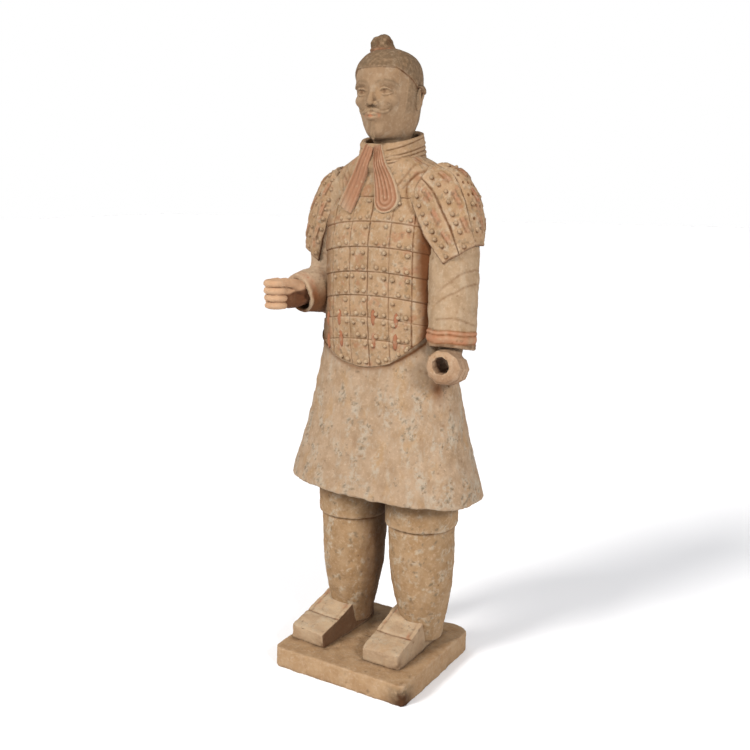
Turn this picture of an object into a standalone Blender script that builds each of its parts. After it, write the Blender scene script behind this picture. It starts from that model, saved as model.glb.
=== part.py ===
# Terracotta warrior: a life-size standing officer in plate armour, on a low square plinth.
# Metres, +Z up. The origin lies near the middle of the plinth's underside. The figure faces -Y
# and its left side is +X. The body is one fired piece; the head and both hands are loose pieces
# that stand in hollow sockets at the collar and the cuffs.

import math

import bmesh
import bpy
from mathutils import Matrix, Vector
from mathutils.bvhtree import BVHTree

# Plinth
PLINTH_LEFT = 0.226
PLINTH_RIGHT = -0.236
PLINTH_FRONT = -0.199
PLINTH_BACK = 0.227
PLINTH_THICK = 0.064
PLINTH_ROUND = 0.045
PLINTH_NEAR_ROUND = 0.016
PLINTH_EDGE = 0.004

# Fits between pieces
SEAT_GAP = 0.0003

# Long robe: hem height, wall at the hem, and the hem's sideways slope and swing
SKIRT_HEM = 0.557
SKIRT_WALL = 0.030
SKIRT_RECESS = 0.065
SKIRT_TILT = 0.032
SKIRT_SWING = 0.006
SKIRT_SWING_HEIGHT = 0.30
ROBE_SIDES = 44

# Armour vest: heights of its lower edge and its half width there
VEST_HEM_FRONT = 0.929
VEST_HEM_SIDE = 1.030
VEST_HEM_BACK = 0.955
VEST_HEM_HALF = 0.228
VEST_HEM_LOWEST_X = -0.030
VEST_WALL = 0.040

# Shoulder guards: lift off the sleeve, step from lame to lame, hem and seam by the neck
PAULDRON_LIFT = 0.013
PAULDRON_HEM = 1.231
PAULDRON_ROWS = 9
PAULDRON_BACK_ANGLE = 190.0
LAMES = 5
LAME_STEP = 0.004
LAME_GROOVE = 0.004

# Sleeve ends
CUFF_WALL = 0.012
CUFF_RECESS = 0.060
CUFF_OVERSHOOT = 0.030
CUFF_TAPER = 0.92

# Legs and shoes
LEFT_LEG_X = 0.125
RIGHT_LEG_X = -0.117
LEG_Y = 0.079
LEG_TOP = 0.700
KNEE_RING = 0.448
LEFT_SHOE_X = 0.104
RIGHT_SHOE_X = -0.150
RIGHT_SHOE_TURN = math.radians(-4.0)
SHOE_CHAMFER = 0.014

# Head: neck socket floor, place of the neck's axis, and how far the face turns to its left
SOCKET_FLOOR = 1.500
HEAD_AXIS = Vector((0.0, 0.087, 0.0))
HEAD_TURN = math.radians(5.0)

# Robe under the armour: height, half width, depth in front, depth behind, centre y
ROBE_STATIONS = [
    (SKIRT_HEM, 0.312, 0.175, 0.164, 0.064),
    (0.595, 0.305, 0.165, 0.157, 0.065),
    (0.655, 0.285, 0.150, 0.147, 0.067),
    (0.755, 0.258, 0.128, 0.133, 0.071),
    (0.855, 0.236, 0.107, 0.120, 0.075),
    (0.930, 0.221, 0.093, 0.111, 0.079),
    (1.000, 0.210, 0.095, 0.106, 0.083),
    (1.100, 0.192, 0.102, 0.102, 0.085),
]

# Armour vest and shoulders: height, half width, depth in front, depth behind, centre y
VEST_STATIONS = [
    (0.920, 0.235, 0.097, 0.118, 0.080),
    (1.000, 0.216, 0.108, 0.117, 0.082),
    (1.075, 0.204, 0.115, 0.115, 0.084),
    (1.145, 0.198, 0.117, 0.114, 0.085),
    (1.215, 0.198, 0.117, 0.114, 0.086),
    (1.285, 0.200, 0.115, 0.116, 0.087),
    (1.350, 0.200, 0.105, 0.118, 0.090),
    (1.415, 0.190, 0.085, 0.113, 0.096),
    (1.465, 0.178, 0.076, 0.104, 0.098),
    (1.500, 0.152, 0.074, 0.092, 0.100),
    (1.520, 0.118, 0.072, 0.084, 0.101),
    (1.530, 0.096, 0.068, 0.078, 0.101),
]

# Leg: height, radius, outward shift from the knee
LEG_STATIONS = [
    (0.092, 0.060, 0.008),
    (0.120, 0.064, 0.008),
    (0.155, 0.071, 0.007),
    (0.210, 0.083, 0.005),
    (0.265, 0.092, 0.003),
    (0.320, 0.096, 0.001),
    (0.372, 0.099, 0.000),
    (KNEE_RING - 0.001, 0.100, 0.000),
    (KNEE_RING + 0.001, 0.104, 0.000),
    (0.480, 0.106, 0.000),
    (LEG_TOP, 0.106, 0.000),
]

# Shoe: distance along y, half width, height above the plinth
SHOE_STATIONS = [
    (-0.126, 0.056, 0.038),
    (-0.118, 0.060, 0.044),
    (-0.085, 0.062, 0.055),
    (-0.050, 0.062, 0.063),
    (-0.010, 0.062, 0.076),
    (0.030, 0.061, 0.090),
    (0.070, 0.060, 0.100),
    (0.110, 0.058, 0.100),
    (0.145, 0.052, 0.085),
    (0.162, 0.040, 0.070),
]

# Sleeves: x, y, z, radius across, radius fore and aft
LEFT_ARM = [
    (0.080, 0.105, 1.425, 0.068, 0.068),
    (0.140, 0.105, 1.430, 0.078, 0.076),
    (0.182, 0.104, 1.404, 0.080, 0.079),
    (0.204, 0.100, 1.345, 0.075, 0.078),
    (0.213, 0.087, 1.280, 0.073, 0.076),
    (0.224, 0.069, 1.200, 0.072, 0.074),
    (0.231, 0.053, 1.120, 0.070, 0.071),
    (0.238, 0.040, 1.060, 0.068, 0.070),
    (0.239, 0.029, 1.004, 0.068, 0.070),
]
RIGHT_UPPER_ARM = [
    (-0.080, 0.105, 1.425, 0.068, 0.068),
    (-0.135, 0.105, 1.430, 0.074, 0.074),
    (-0.170, 0.105, 1.396, 0.074, 0.077),
    (-0.192, 0.108, 1.345, 0.075, 0.078),
    (-0.208, 0.118, 1.280, 0.075, 0.077),
    (-0.220, 0.131, 1.210, 0.073, 0.074),
    (-0.224, 0.142, 1.150, 0.070, 0.071),
    (-0.225, 0.149, 1.110, 0.062, 0.062),
    (-0.225, 0.151, 1.080, 0.038, 0.038),
]
RIGHT_FOREARM = [
    (-0.216, 0.200, 1.128, 0.030, 0.030),
    (-0.218, 0.185, 1.127, 0.054, 0.056),
    (-0.222, 0.155, 1.129, 0.068, 0.072),
    (-0.230, 0.105, 1.134, 0.070, 0.077),
    (-0.239, 0.045, 1.135, 0.063, 0.072),
    (-0.247, -0.006, 1.133, 0.059, 0.067),
]

# Collar: height, radius, how much of the rim's backward tilt applies
COLLAR_STATIONS = [
    (1.485, 0.092, 0.0),
    (1.503, 0.101, 0.1),
    (1.520, 0.100, 0.4),
    (1.524, 0.096, 0.5),
    (1.544, 0.095, 0.7),
    (1.548, 0.092, 0.8),
    (1.576, 0.091, 1.0),
    (1.582, 0.087, 1.0),
    (1.577, 0.060, 1.0),
]
COLLAR_CENTRE = Vector((0.003, 0.100, 0.0))
COLLAR_TILT = 0.24
SOCKET_RADIUS = 0.074
COLLAR_SIDES = 28

# Head: height, half width, depth in front, depth behind, centre y from the head's axis
HEAD_STATIONS = [
    (SOCKET_FLOOR, 0.058, 0.056, 0.056, 0.012),
    (1.540, 0.055, 0.054, 0.058, 0.012),
    (1.572, 0.056, 0.056, 0.064, 0.010),
    (1.580, 0.062, 0.084, 0.068, 0.004),
    (1.587, 0.067, 0.099, 0.072, 0.001),
    (1.600, 0.073, 0.108, 0.082, 0.000),
    (1.632, 0.082, 0.113, 0.102, 0.000),
    (1.680, 0.086, 0.115, 0.114, 0.000),
    (1.735, 0.088, 0.113, 0.116, 0.000),
    (1.770, 0.084, 0.103, 0.111, 0.000),
    (1.796, 0.072, 0.084, 0.096, 0.000),
    (1.812, 0.052, 0.064, 0.070, 0.002),
    (1.820, 0.026, 0.032, 0.038, 0.004),
]
HAIR_LIFT = 0.005
HAIRLINE_FRONT = 1.766
HAIRLINE_FALL = 0.00115
TOPKNOT_PATH = [
    (-0.014, -0.004, 1.800, 0.045, 0.045),
    (-0.016, -0.006, 1.818, 0.035, 0.038),
    (-0.021, -0.009, 1.835, 0.033, 0.036),
    (-0.024, -0.011, 1.852, 0.027, 0.028),
    (-0.025, -0.011, 1.861, 0.014, 0.014),
]

# Hands
LEFT_FIST_FRONT = Vector((0.251, -0.056, 0.957))
LEFT_FIST_TURN = math.radians(5.0)
LEFT_FIST_DROP = 0.10
LEFT_FIST_WIDEN = 0.012
LEFT_FIST_ROWS = [(0.000, 0.042), (0.006, 0.048), (0.045, 0.050), (0.080, 0.047), (0.094, 0.037)]
LEFT_GRIP_RADIUS = 0.0235
LEFT_GRIP_SIDES = 7
RIGHT_GRIP_RADIUS = 0.0165
FIST_HEIGHT = 0.082
FIST_REACH = 0.099
FINGERS = 4


def clear_scene():
    for obj in list(bpy.data.objects):
        bpy.data.objects.remove(obj)


def clay(name, color, roughness=0.85):
    material = bpy.data.materials.new(name)
    material.use_nodes = True
    shader = material.node_tree.nodes["Principled BSDF"]
    shader.inputs["Base Color"].default_value = (*color, 1.0)
    shader.inputs["Roughness"].default_value = roughness
    shader.inputs["Metallic"].default_value = 0.0
    return material


def sample(stations, t):
    """Smooth values at t on the curve through rows (t, value, value, ...)."""
    rows = stations
    last = len(rows) - 1
    if t <= rows[0][0]:
        return rows[0][1:]
    if t >= rows[last][0]:
        return rows[last][1:]
    k = max(i for i in range(last) if rows[i][0] <= t)
    span = rows[k + 1][0] - rows[k][0]
    s = (t - rows[k][0]) / span

    def slope(i, j):
        low = max(i - 1, 0)
        high = min(i + 1, last)
        return (rows[high][j] - rows[low][j]) / (rows[high][0] - rows[low][0])

    values = []
    for j in range(1, len(rows[0])):
        m0 = slope(k, j) * span
        m1 = slope(k + 1, j) * span
        h00 = 2 * s**3 - 3 * s**2 + 1
        h10 = s**3 - 2 * s**2 + s
        h01 = 3 * s**2 - 2 * s**3
        h11 = s**3 - s**2
        values.append(h00 * rows[k][j] + h10 * m0 + h01 * rows[k + 1][j] + h11 * m1)
    return values


def superpoint(angle, half_x, half_y, power):
    """Point on a superellipse; power 2 is an ellipse and more is squarer."""
    c = math.cos(angle)
    s = math.sin(angle)
    x = half_x * math.copysign(abs(c) ** (2.0 / power), c)
    y = half_y * math.copysign(abs(s) ** (2.0 / power), s)
    return x, y


def oval_ring(count, center, half_x, front, back, power=2.0):
    """Horizontal ring, counter-clockwise from above, with its own depth in front and behind."""
    ring = []
    for i in range(count):
        angle = math.tau * i / count
        depth = back if math.sin(angle) > 0.0 else front
        x, y = superpoint(angle, half_x, depth, power)
        ring.append(Vector((center[0] + x, center[1] + y, center[2])))
    return ring


def skin(name, rings, material, start_tip=None, end_tip=None):
    """Closed solid through a stack of rings; each end is a fan to its tip or its middle."""
    mesh = bpy.data.meshes.new(name)
    bm = bmesh.new()
    rows = [[bm.verts.new(point) for point in ring] for ring in rings]
    count = len(rows[0])
    for low, high in zip(rows, rows[1:]):
        for i in range(count):
            j = (i + 1) % count
            bm.faces.new((low[i], low[j], high[j], high[i]))
    for row, tip, flip in ((rows[0], start_tip, True), (rows[-1], end_tip, False)):
        middle = tip
        if middle is None:
            middle = sum((v.co for v in row), Vector()) / count
        hub = bm.verts.new(middle)
        for i in range(count):
            j = (i + 1) % count
            order = (row[j], row[i], hub) if flip else (row[i], row[j], hub)
            bm.faces.new(order)
    bmesh.ops.triangulate(bm, faces=bm.faces[:])
    bmesh.ops.recalc_face_normals(bm, faces=bm.faces[:])
    if bm.calc_volume(signed=True) < 0.0:
        bmesh.ops.reverse_faces(bm, faces=bm.faces[:])
    bm.to_mesh(mesh)
    bm.free()
    mesh.materials.append(material)
    obj = bpy.data.objects.new(name, mesh)
    bpy.context.collection.objects.link(obj)
    mesh.shade_smooth()
    mesh.set_sharp_from_angle(angle=math.radians(40.0))
    return obj


def as_cutter(obj):
    obj.hide_render = True
    obj.display_type = "WIRE"
    return obj


def combine(base, others, operation):
    for other in others:
        modifier = base.modifiers.new(operation.title() + " " + other.name, "BOOLEAN")
        modifier.operation = operation
        modifier.solver = "EXACT"
        modifier.object = as_cutter(other)


def bent_tube(name, path, material, sides=20, steps=2, front=Vector((0.0, -1.0, 0.0))):
    """Tube of oval sections along a path of rows (x, y, z, radius across, radius forward)."""
    rows = [(float(i), *row) for i, row in enumerate(path)]
    stations = [sample(rows, i / steps) for i in range((len(path) - 1) * steps + 1)]
    rings = []
    forward = front
    for i, row in enumerate(stations):
        before = Vector(stations[max(i - 1, 0)][:3])
        after = Vector(stations[min(i + 1, len(stations) - 1)][:3])
        along = (after - before).normalized()
        forward = (forward - along * forward.dot(along)).normalized()
        across = forward.cross(along)
        ring = []
        for k in range(sides):
            angle = math.tau * k / sides
            offset = across * (math.cos(angle) * row[3]) - forward * (math.sin(angle) * row[4])
            ring.append(Vector(row[:3]) + offset)
        rings.append(ring)
    return skin(name, rings, material)


def robe_ring(height, count, inset=0.0):
    half, front, back, middle = sample(ROBE_STATIONS, height)
    low = max(0.0, 1.0 - (height - SKIRT_HEM) / SKIRT_SWING_HEIGHT)
    center = (SKIRT_SWING * low**0.5, middle, height)
    ring = oval_ring(count, center, half - inset, front - inset, back - inset, 2.5)
    tilt = SKIRT_TILT * low
    for point in ring:
        point.z -= tilt * point.x
    return ring


def make_robe(material):
    heights = [SKIRT_HEM, 0.595, 0.65, 0.71, 0.765, 0.82, 0.875, 0.93, 0.985, 1.04, 1.10]
    return skin("body", [robe_ring(z, ROBE_SIDES) for z in heights], material)


def make_skirt_recess(material):
    """Cutter for the shallow hollow under the hem, round the tops of the legs."""
    rings = [robe_ring(z, 32, SKIRT_WALL) for z in (SKIRT_HEM, SKIRT_HEM + SKIRT_RECESS)]
    below = [Vector((p.x, p.y, SKIRT_HEM - SKIRT_RECESS)) for p in rings[0]]
    return skin("skirt_recess", [below] + rings, material)


def vest_hem(angle):
    """Height of the vest's lower edge: a round apron in front, a flatter one behind."""
    x = VEST_HEM_HALF * math.cos(angle)
    front = VEST_HEM_FRONT + 2.2 * (x - VEST_HEM_LOWEST_X) ** 2
    behind = VEST_HEM_BACK + 1.1 * x**2
    share = min(1.0, max(0.0, math.sin(angle) * 1.5 + 0.5))
    return min(VEST_HEM_SIDE, front + (behind - front) * share)


def vest_point(angle, height, inset=0.0):
    half, front, back, middle = sample(VEST_STATIONS, height)
    depth = back if math.sin(angle) > 0.0 else front
    x, y = superpoint(angle, half - inset, depth - inset, 2.3)
    return Vector((x, middle + y, height))


def make_vest(material):
    angles = [math.tau * i / ROBE_SIDES for i in range(ROBE_SIDES)]
    top = VEST_STATIONS[-1][0]
    shares = [0.0, 0.12, 0.25, 0.37, 0.49, 0.60, 0.70, 0.79, 0.87, 0.93, 0.97, 1.0]
    rings = [[vest_point(a, vest_hem(a) + VEST_WALL * 0.3, VEST_WALL) for a in angles]]
    for share in shares:
        rings.append([vest_point(a, vest_hem(a) + (top - vest_hem(a)) * share) for a in angles])
    return skin("vest", rings, material, start_tip=Vector((0.0, LEG_Y, VEST_HEM_SIDE)))


def make_collar(material):
    rings = []
    for height, radius, tilt in COLLAR_STATIONS:
        ring = oval_ring(COLLAR_SIDES, (*COLLAR_CENTRE.xy, height), radius, radius, radius)
        for point in ring:
            point.z += COLLAR_TILT * tilt * (point.y - COLLAR_CENTRE.y)
        rings.append(ring)
    return skin("collar", rings, material)


def make_neck_socket(material):
    rings = [
        oval_ring(COLLAR_SIDES, (*COLLAR_CENTRE.xy, height), SOCKET_RADIUS, SOCKET_RADIUS, SOCKET_RADIUS)
        for height in (SOCKET_FLOOR, SOCKET_FLOOR + 0.2)
    ]
    return skin("neck_socket", rings, material)


def make_leg(name, knee_x, material):
    rings = []
    for height, radius, outward in LEG_STATIONS:
        center = (knee_x + math.copysign(outward, knee_x), LEG_Y, height)
        rings.append(oval_ring(22, center, radius, radius, radius, 2.1))
    return skin(name, rings, material)


def make_shoe(name, center_x, turn, material):
    """Square-toed shoe with a flat sole, chamfered along the top and rising to the ankle."""
    floor = PLINTH_THICK + SEAT_GAP
    rings = []
    for y, half, height in SHOE_STATIONS:
        shoulder = height - SHOE_CHAMFER
        right_side = [(half, 0.0), (half, shoulder * 0.6), (half, shoulder), (half - SHOE_CHAMFER, height)]
        left_side = [(-x, z) for x, z in reversed(right_side)]
        outline = [(0.0, 0.0)] + right_side + [(0.0, height + 0.002)] + left_side
        rings.append([Vector((x, y, floor + z)) for x, z in outline])
    shoe = skin(name, rings, material)
    shoe.data.transform(Matrix.Translation((center_x, 0.0, 0.0)) @ Matrix.Rotation(turn, 4, "Z"))
    return shoe


def surface_of(objects):
    """One search tree over the outer skins of several solids."""
    verts = []
    faces = []
    for obj in objects:
        start = len(verts)
        verts.extend(v.co.copy() for v in obj.data.vertices)
        faces.extend([start + i for i in p.vertices] for p in obj.data.polygons)
    return BVHTree.FromPolygons(verts, faces)


def drape(tree, origin, direction, lift, bury=0.020):
    """Outer and buried points of a layer that lies on the surface hit from outside."""
    hit = tree.ray_cast(origin, direction)[0]
    return hit - direction * lift, hit + direction * bury


def make_pauldron(name, side, tree, material, neck_x, front_angle):
    """Shoulder guard of upright lames that fan from a seam beside the neck over the arm."""
    shoulder = Vector((side * neck_x, 0.104, 1.405))
    edges = (LAME_GROOVE, 0.5 / LAMES, 1.0 / LAMES - LAME_GROOVE)
    shares = [k / LAMES + offset for k in range(LAMES) for offset in edges]
    loops = []
    for r in range(PAULDRON_ROWS + 1):
        down = r / PAULDRON_ROWS
        outer_row = []
        inner_row = []
        for share in shares:
            over = math.pi * share
            turn = math.radians(front_angle + (PAULDRON_BACK_ANGLE - front_angle) * share)
            upward = Vector((0.0, -math.cos(over), math.sin(over)))
            sideways = Vector((side * math.sin(turn), -math.cos(turn), 0.0))
            hem = PAULDRON_HEM + 0.052 * min(1.0, share * 2.0)
            out = upward.slerp(sideways, down)
            base = shoulder.lerp(Vector((side * 0.214, 0.100, hem)), down**1.5)
            lame = LAME_STEP * ((share * LAMES) % 1.0)
            outer, inner = drape(tree, base + out * 0.4, -out, PAULDRON_LIFT + lame)
            outer_row.append(outer)
            inner_row.append(inner)
        loops.append(outer_row + inner_row[::-1])
    return skin(name, loops, material)


def make_scarf_end(name, tree, material, spine):
    """Flat tie end lying on the chest along a spine of rows (x, z, width)."""
    rings = []
    steps = 8
    rows = [(i / (len(spine) - 1), *row) for i, row in enumerate(spine)]
    for i in range(steps + 1):
        x, z, width = sample(rows, i / steps)
        before = sample(rows, max(0.0, i / steps - 0.05))
        after = sample(rows, min(1.0, i / steps + 0.05))
        along = Vector((after[0] - before[0], 0.0, after[1] - before[1])).normalized()
        across = Vector((-along.z, 0.0, along.x))
        outer = []
        inner = []
        for k in range(7):
            place = -1.0 + k / 3.0
            origin = Vector((x, -0.4, z)) + across * (place * width / 2.0)
            lift = 0.010 - 0.006 * abs(place) ** 3
            top, deep = drape(tree, origin, Vector((0.0, 1.0, 0.0)), lift, 0.035)
            outer.append(top)
            inner.append(deep)
        rings.append(outer + inner[::-1])
    return skin(name, rings, material)


def make_cuff_hollow(name, path, material):
    """Round cutter that hollows the open end of a sleeve."""
    end = Vector(path[-1][:3])
    along = (end - Vector(path[-2][:3])).normalized()
    across = path[-1][3] - CUFF_WALL
    forward = path[-1][4] - CUFF_WALL
    route = [
        (*(end - along * CUFF_RECESS), across * CUFF_TAPER, forward * CUFF_TAPER),
        (*(end + along * CUFF_OVERSHOOT), across, forward),
    ]
    return bent_tube(name, route, material, steps=1)


def make_body(material):
    body = make_robe(material)
    vest = make_vest(material)
    left_arm = bent_tube("sleeve_left", LEFT_ARM, material)
    upper_arm = bent_tube("sleeve_right_upper", RIGHT_UPPER_ARM, material)
    forearm = bent_tube("sleeve_right_lower", RIGHT_FOREARM, material, front=Vector((0.0, 0.0, 1.0)))
    tree = surface_of([vest, left_arm, upper_arm])
    left_guard = make_pauldron("pauldron_left", 1.0, tree, material, 0.115, -9.0)
    right_guard = make_pauldron("pauldron_right", -1.0, tree, material, 0.160, 14.0)
    collar = make_collar(material)
    chest = surface_of([vest, collar])
    right_spine = [
        (-0.006, 1.548, 0.024), (-0.032, 1.500, 0.034), (-0.062, 1.450, 0.044), (-0.095, 1.392, 0.056),
    ]
    left_spine = [
        (0.004, 1.548, 0.024), (0.018, 1.490, 0.044), (0.034, 1.440, 0.066), (0.050, 1.382, 0.056),
    ]
    ties = [
        make_scarf_end("tie_right", chest, material, right_spine),
        make_scarf_end("tie_left", chest, material, left_spine),
    ]
    legs = [
        make_leg("leg_left", LEFT_LEG_X, material),
        make_leg("leg_right", RIGHT_LEG_X, material),
    ]
    shoes = [
        make_shoe("shoe_left", LEFT_SHOE_X, 0.0, material),
        make_shoe("shoe_right", RIGHT_SHOE_X, RIGHT_SHOE_TURN, material),
    ]
    combine(body, [make_skirt_recess(material)], "DIFFERENCE")
    combine(body, [vest, left_arm, upper_arm, forearm, left_guard, right_guard, collar], "UNION")
    combine(body, ties + legs + shoes, "UNION")
    hollows = [
        make_cuff_hollow("left_cuff_hollow", LEFT_ARM, material),
        make_cuff_hollow("right_cuff_hollow", RIGHT_FOREARM, material),
        make_neck_socket(material),
    ]
    combine(body, hollows, "DIFFERENCE")
    return body


def head_ring(height, count=32):
    half, front, back, middle = sample(HEAD_STATIONS, height)
    ring = oval_ring(count, (0.0, middle, height), half, front, back, 2.15)
    for point in ring:
        out = Vector((point.x, point.y - middle, 0.0)).normalized()
        point += out * (HAIR_LIFT * hair_cover(point, middle))
    return ring


def hair_cover(point, middle):
    """1 under the hair and 0 on bare skin; the hairline drops from the brow to the nape."""
    turn = math.degrees(math.atan2(abs(point.x), middle - point.y))
    line = HAIRLINE_FRONT - max(0.0, turn - 38.0) * HAIRLINE_FALL
    return min(1.0, max(0.0, (point.z - line) / 0.012))


def tapered(name, points, radii, material, sides=8, steps=2, front=Vector((0.05, -1.0, 0.1))):
    """Tube along a short path; flat ends."""
    path = [(*point, radius, radius) for point, radius in zip(points, radii)]
    return bent_tube(name, path, material, sides, steps, front)


def make_nose(material):
    """Generic wedge nose with a bridge, two wings and a flat underside."""
    rows = [
        (1.722, 0.009, -0.108), (1.703, 0.010, -0.119), (1.683, 0.013, -0.130),
        (1.670, 0.018, -0.134), (1.662, 0.017, -0.124),
    ]
    rings = []
    for height, half, tip in rows:
        right_side = [(half * 0.45, tip), (half, tip + 0.016), (half * 1.25, -0.085)]
        outline = [(-x, y) for x, y in reversed(right_side)] + right_side
        rings.append([Vector((x, y, height)) for x, y in outline])
    return skin("nose", rings, material)


def make_ear(side, material):
    bpy.ops.mesh.primitive_uv_sphere_add(segments=12, ring_count=8, radius=1.0)
    ear = bpy.context.object
    ear.name = "ear_" + ("left" if side > 0 else "right")
    size = Matrix.Diagonal((0.013, 0.019, 0.034, 1.0))
    tilt = Matrix.Rotation(math.radians(-10.0), 4, "X")
    place = Matrix.Translation((side * 0.090, 0.010, 1.688))
    ear.data.transform(place @ tilt @ size)
    ear.data.materials.append(material)
    return ear


def make_whisker(side, material):
    """Half of the moustache, with an upturned end."""
    name = "whisker_" + ("left" if side > 0 else "right")
    points = [
        (side * -0.004, -0.109, 1.648), (side * 0.016, -0.110, 1.646),
        (side * 0.033, -0.103, 1.643), (side * 0.044, -0.094, 1.652),
    ]
    return tapered(name, points, [0.006, 0.006, 0.005, 0.002], material)


def make_head(material):
    heights = [SOCKET_FLOOR + SEAT_GAP, 1.54, 1.565, 1.578, 1.585, 1.591, 1.60, 1.618, 1.64, 1.664, 1.69]
    heights += [1.715, 1.738, 1.757, 1.772, 1.786, 1.798, 1.809, 1.817]
    head = skin("head", [head_ring(z) for z in heights], material, end_tip=Vector((0.0, 0.006, 1.824)))
    tuft = [(0.0, -0.100, 1.606), (0.0, -0.106, 1.592), (0.0, -0.104, 1.574)]
    parts = [
        bent_tube("topknot", TOPKNOT_PATH, material, sides=16),
        make_nose(material),
        tapered("chin_tuft", tuft, [0.013, 0.011, 0.004], material),
        make_whisker(1.0, material),
        make_whisker(-1.0, material),
        make_ear(1.0, material),
        make_ear(-1.0, material),
    ]
    turn = Matrix.Translation(HEAD_AXIS) @ Matrix.Rotation(HEAD_TURN, 4, "Z")
    for obj in [head] + parts:
        obj.data.transform(turn)
    combine(head, parts, "UNION")
    return head


def rod(name, center, radius, sides, axis, ends, material):
    """Straight prism cutter of a round hole along Y or Z."""
    rings = []
    for end in ends:
        ring = []
        for k in range(sides):
            u = radius * math.cos(math.tau * k / sides)
            v = radius * math.sin(math.tau * k / sides)
            point = Vector((u, end, v)) if axis == "Y" else Vector((u, v, end))
            ring.append(center + point)
        rings.append(ring)
    return skin(name, rings, material)


def make_left_hand(material):
    """Blunt faceted fist round a hole that points forward and a little outward."""
    sides = 10
    rings = []
    for depth, radius in LEFT_FIST_ROWS:
        ring = []
        for k in range(sides):
            angle = math.tau * (k + 0.5) / sides
            widen = LEFT_FIST_WIDEN if math.cos(angle) > 0.0 else 0.0
            x = math.cos(angle) * (radius * 0.94 + widen)
            ring.append(Vector((x, depth, math.sin(angle) * radius - LEFT_FIST_DROP * depth)))
        rings.append(ring)
    hand = skin("left_hand", rings, material)
    hole = rod("left_grip_hole", Vector(), LEFT_GRIP_RADIUS, LEFT_GRIP_SIDES, "Y", (-0.03, 0.13), material)
    place = Matrix.Translation(LEFT_FIST_FRONT) @ Matrix.Rotation(LEFT_FIST_TURN, 4, "Z")
    for obj in (hand, hole):
        obj.data.transform(place)
    cuff = Vector(LEFT_ARM[-1][:3])
    along = (cuff - Vector(LEFT_ARM[-2][:3])).normalized()
    root = cuff - along * (CUFF_RECESS - SEAT_GAP)
    middle = LEFT_FIST_FRONT + Vector((0.0, 0.050, 0.012))
    route = [root, root + along * 0.010, root + along * 0.030, middle]
    wrist = tapered("left_wrist", route, [0.034, 0.034, 0.034, 0.036], material, 12, 1)
    combine(hand, [wrist], "UNION")
    combine(hand, [hole], "DIFFERENCE")
    return hand


def slab(name, sections, material):
    """Four-sided solid through rows (x, low y, high y, low z, high z)."""
    rings = []
    for x, low_y, high_y, low_z, high_z in sections:
        corners = [(low_y, low_z), (high_y, low_z), (high_y, high_z), (low_y, high_z)]
        rings.append([Vector((FIST_REACH + x, y, z)) for y, z in corners])
    return skin(name, rings, material)


def make_fingers(material):
    """Four bent fingers stacked one on another, each a bulge round the grip."""
    finger = FIST_HEIGHT / FINGERS
    sides = 18
    rings = []
    for k in range(FINGERS):
        for share, swell in ((0.06, 0.0), (0.32, 0.005), (0.68, 0.005), (0.94, 0.0)):
            z = finger * (k + share) - FIST_HEIGHT / 2.0
            half_x = 0.035 + swell
            half_y = 0.030 + swell
            outline = [superpoint(math.tau * j / sides, half_x, half_y, 2.6) for j in range(sides)]
            rings.append([Vector((FIST_REACH + x, y, z)) for x, y in outline])
    return skin("right_hand", rings, material)


def make_right_hand(material):
    """Fist round an upright hole, with the thumb laid over the top finger."""
    cuff = Vector(RIGHT_FOREARM[-1][:3])
    along = (cuff - Vector(RIGHT_FOREARM[-2][:3])).normalized()
    inward = Vector((0.0, 0.0, 1.0)).cross(along).normalized()
    frame = Matrix((along, inward, along.cross(inward))).transposed().to_4x4()
    frame.translation = cuff
    hand = make_fingers(material)
    palm = slab("palm", [
        (-0.045, -0.022, 0.020, -0.030, 0.034),
        (-0.010, -0.033, 0.000, -0.034, 0.036),
        (0.018, -0.036, -0.012, -0.032, 0.034),
    ], material)
    route = [(SEAT_GAP - CUFF_RECESS, 0.0, 0.0), (-0.010, 0.0, 0.0), (FIST_REACH - 0.030, -0.004, 0.0)]
    upward = Vector((0.0, 0.0, 1.0))
    wrist = tapered("right_wrist", route, [0.029, 0.029, 0.030], material, 12, 1, upward)
    thumb_route = [(0.022, 0.004, 0.018), (0.048, 0.016, 0.032), (0.079, 0.016, 0.0395), (0.101, 0.010, 0.0405)]
    thumb = tapered("thumb", thumb_route, [0.016, 0.015, 0.013, 0.009], material, 10)
    grip = Vector((FIST_REACH, 0.0, 0.0))
    hole = rod("right_grip_hole", grip, RIGHT_GRIP_RADIUS, 12, "Z", (-0.08, 0.08), material)
    outline = [(-0.016, 0.000), (-0.050, 0.010), (-0.050, 0.050), (-0.014, 0.050), (-0.008, 0.012)]
    gap = skin("finger_gap", [
        [grip + Vector((x, y, z)) for x, y in outline] for z in (-0.08, 0.026)
    ], material)
    for obj in (hand, palm, wrist, thumb, hole, gap):
        obj.data.transform(frame)
    combine(hand, [gap], "DIFFERENCE")
    combine(hand, [thumb, palm, wrist], "UNION")
    combine(hand, [hole], "DIFFERENCE")
    return hand


def plinth_outline(inset, height):
    """Rectangle with four rounded corners, the front-left one (+x, -y) the sharpest."""
    corners = [
        (PLINTH_LEFT, PLINTH_BACK, PLINTH_ROUND, 0.0),
        (PLINTH_RIGHT, PLINTH_BACK, PLINTH_ROUND, 90.0),
        (PLINTH_RIGHT, PLINTH_FRONT, PLINTH_ROUND * 0.6, 180.0),
        (PLINTH_LEFT, PLINTH_FRONT, PLINTH_NEAR_ROUND, 270.0),
    ]
    outline = []
    for x, y, radius, start in corners:
        hub = Vector((x - math.copysign(radius, x), y - math.copysign(radius, y), height))
        for k in range(7):
            angle = math.radians(start + 15.0 * k)
            outline.append(hub + Vector((math.cos(angle), math.sin(angle), 0.0)) * (radius - inset))
    return outline


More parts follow.
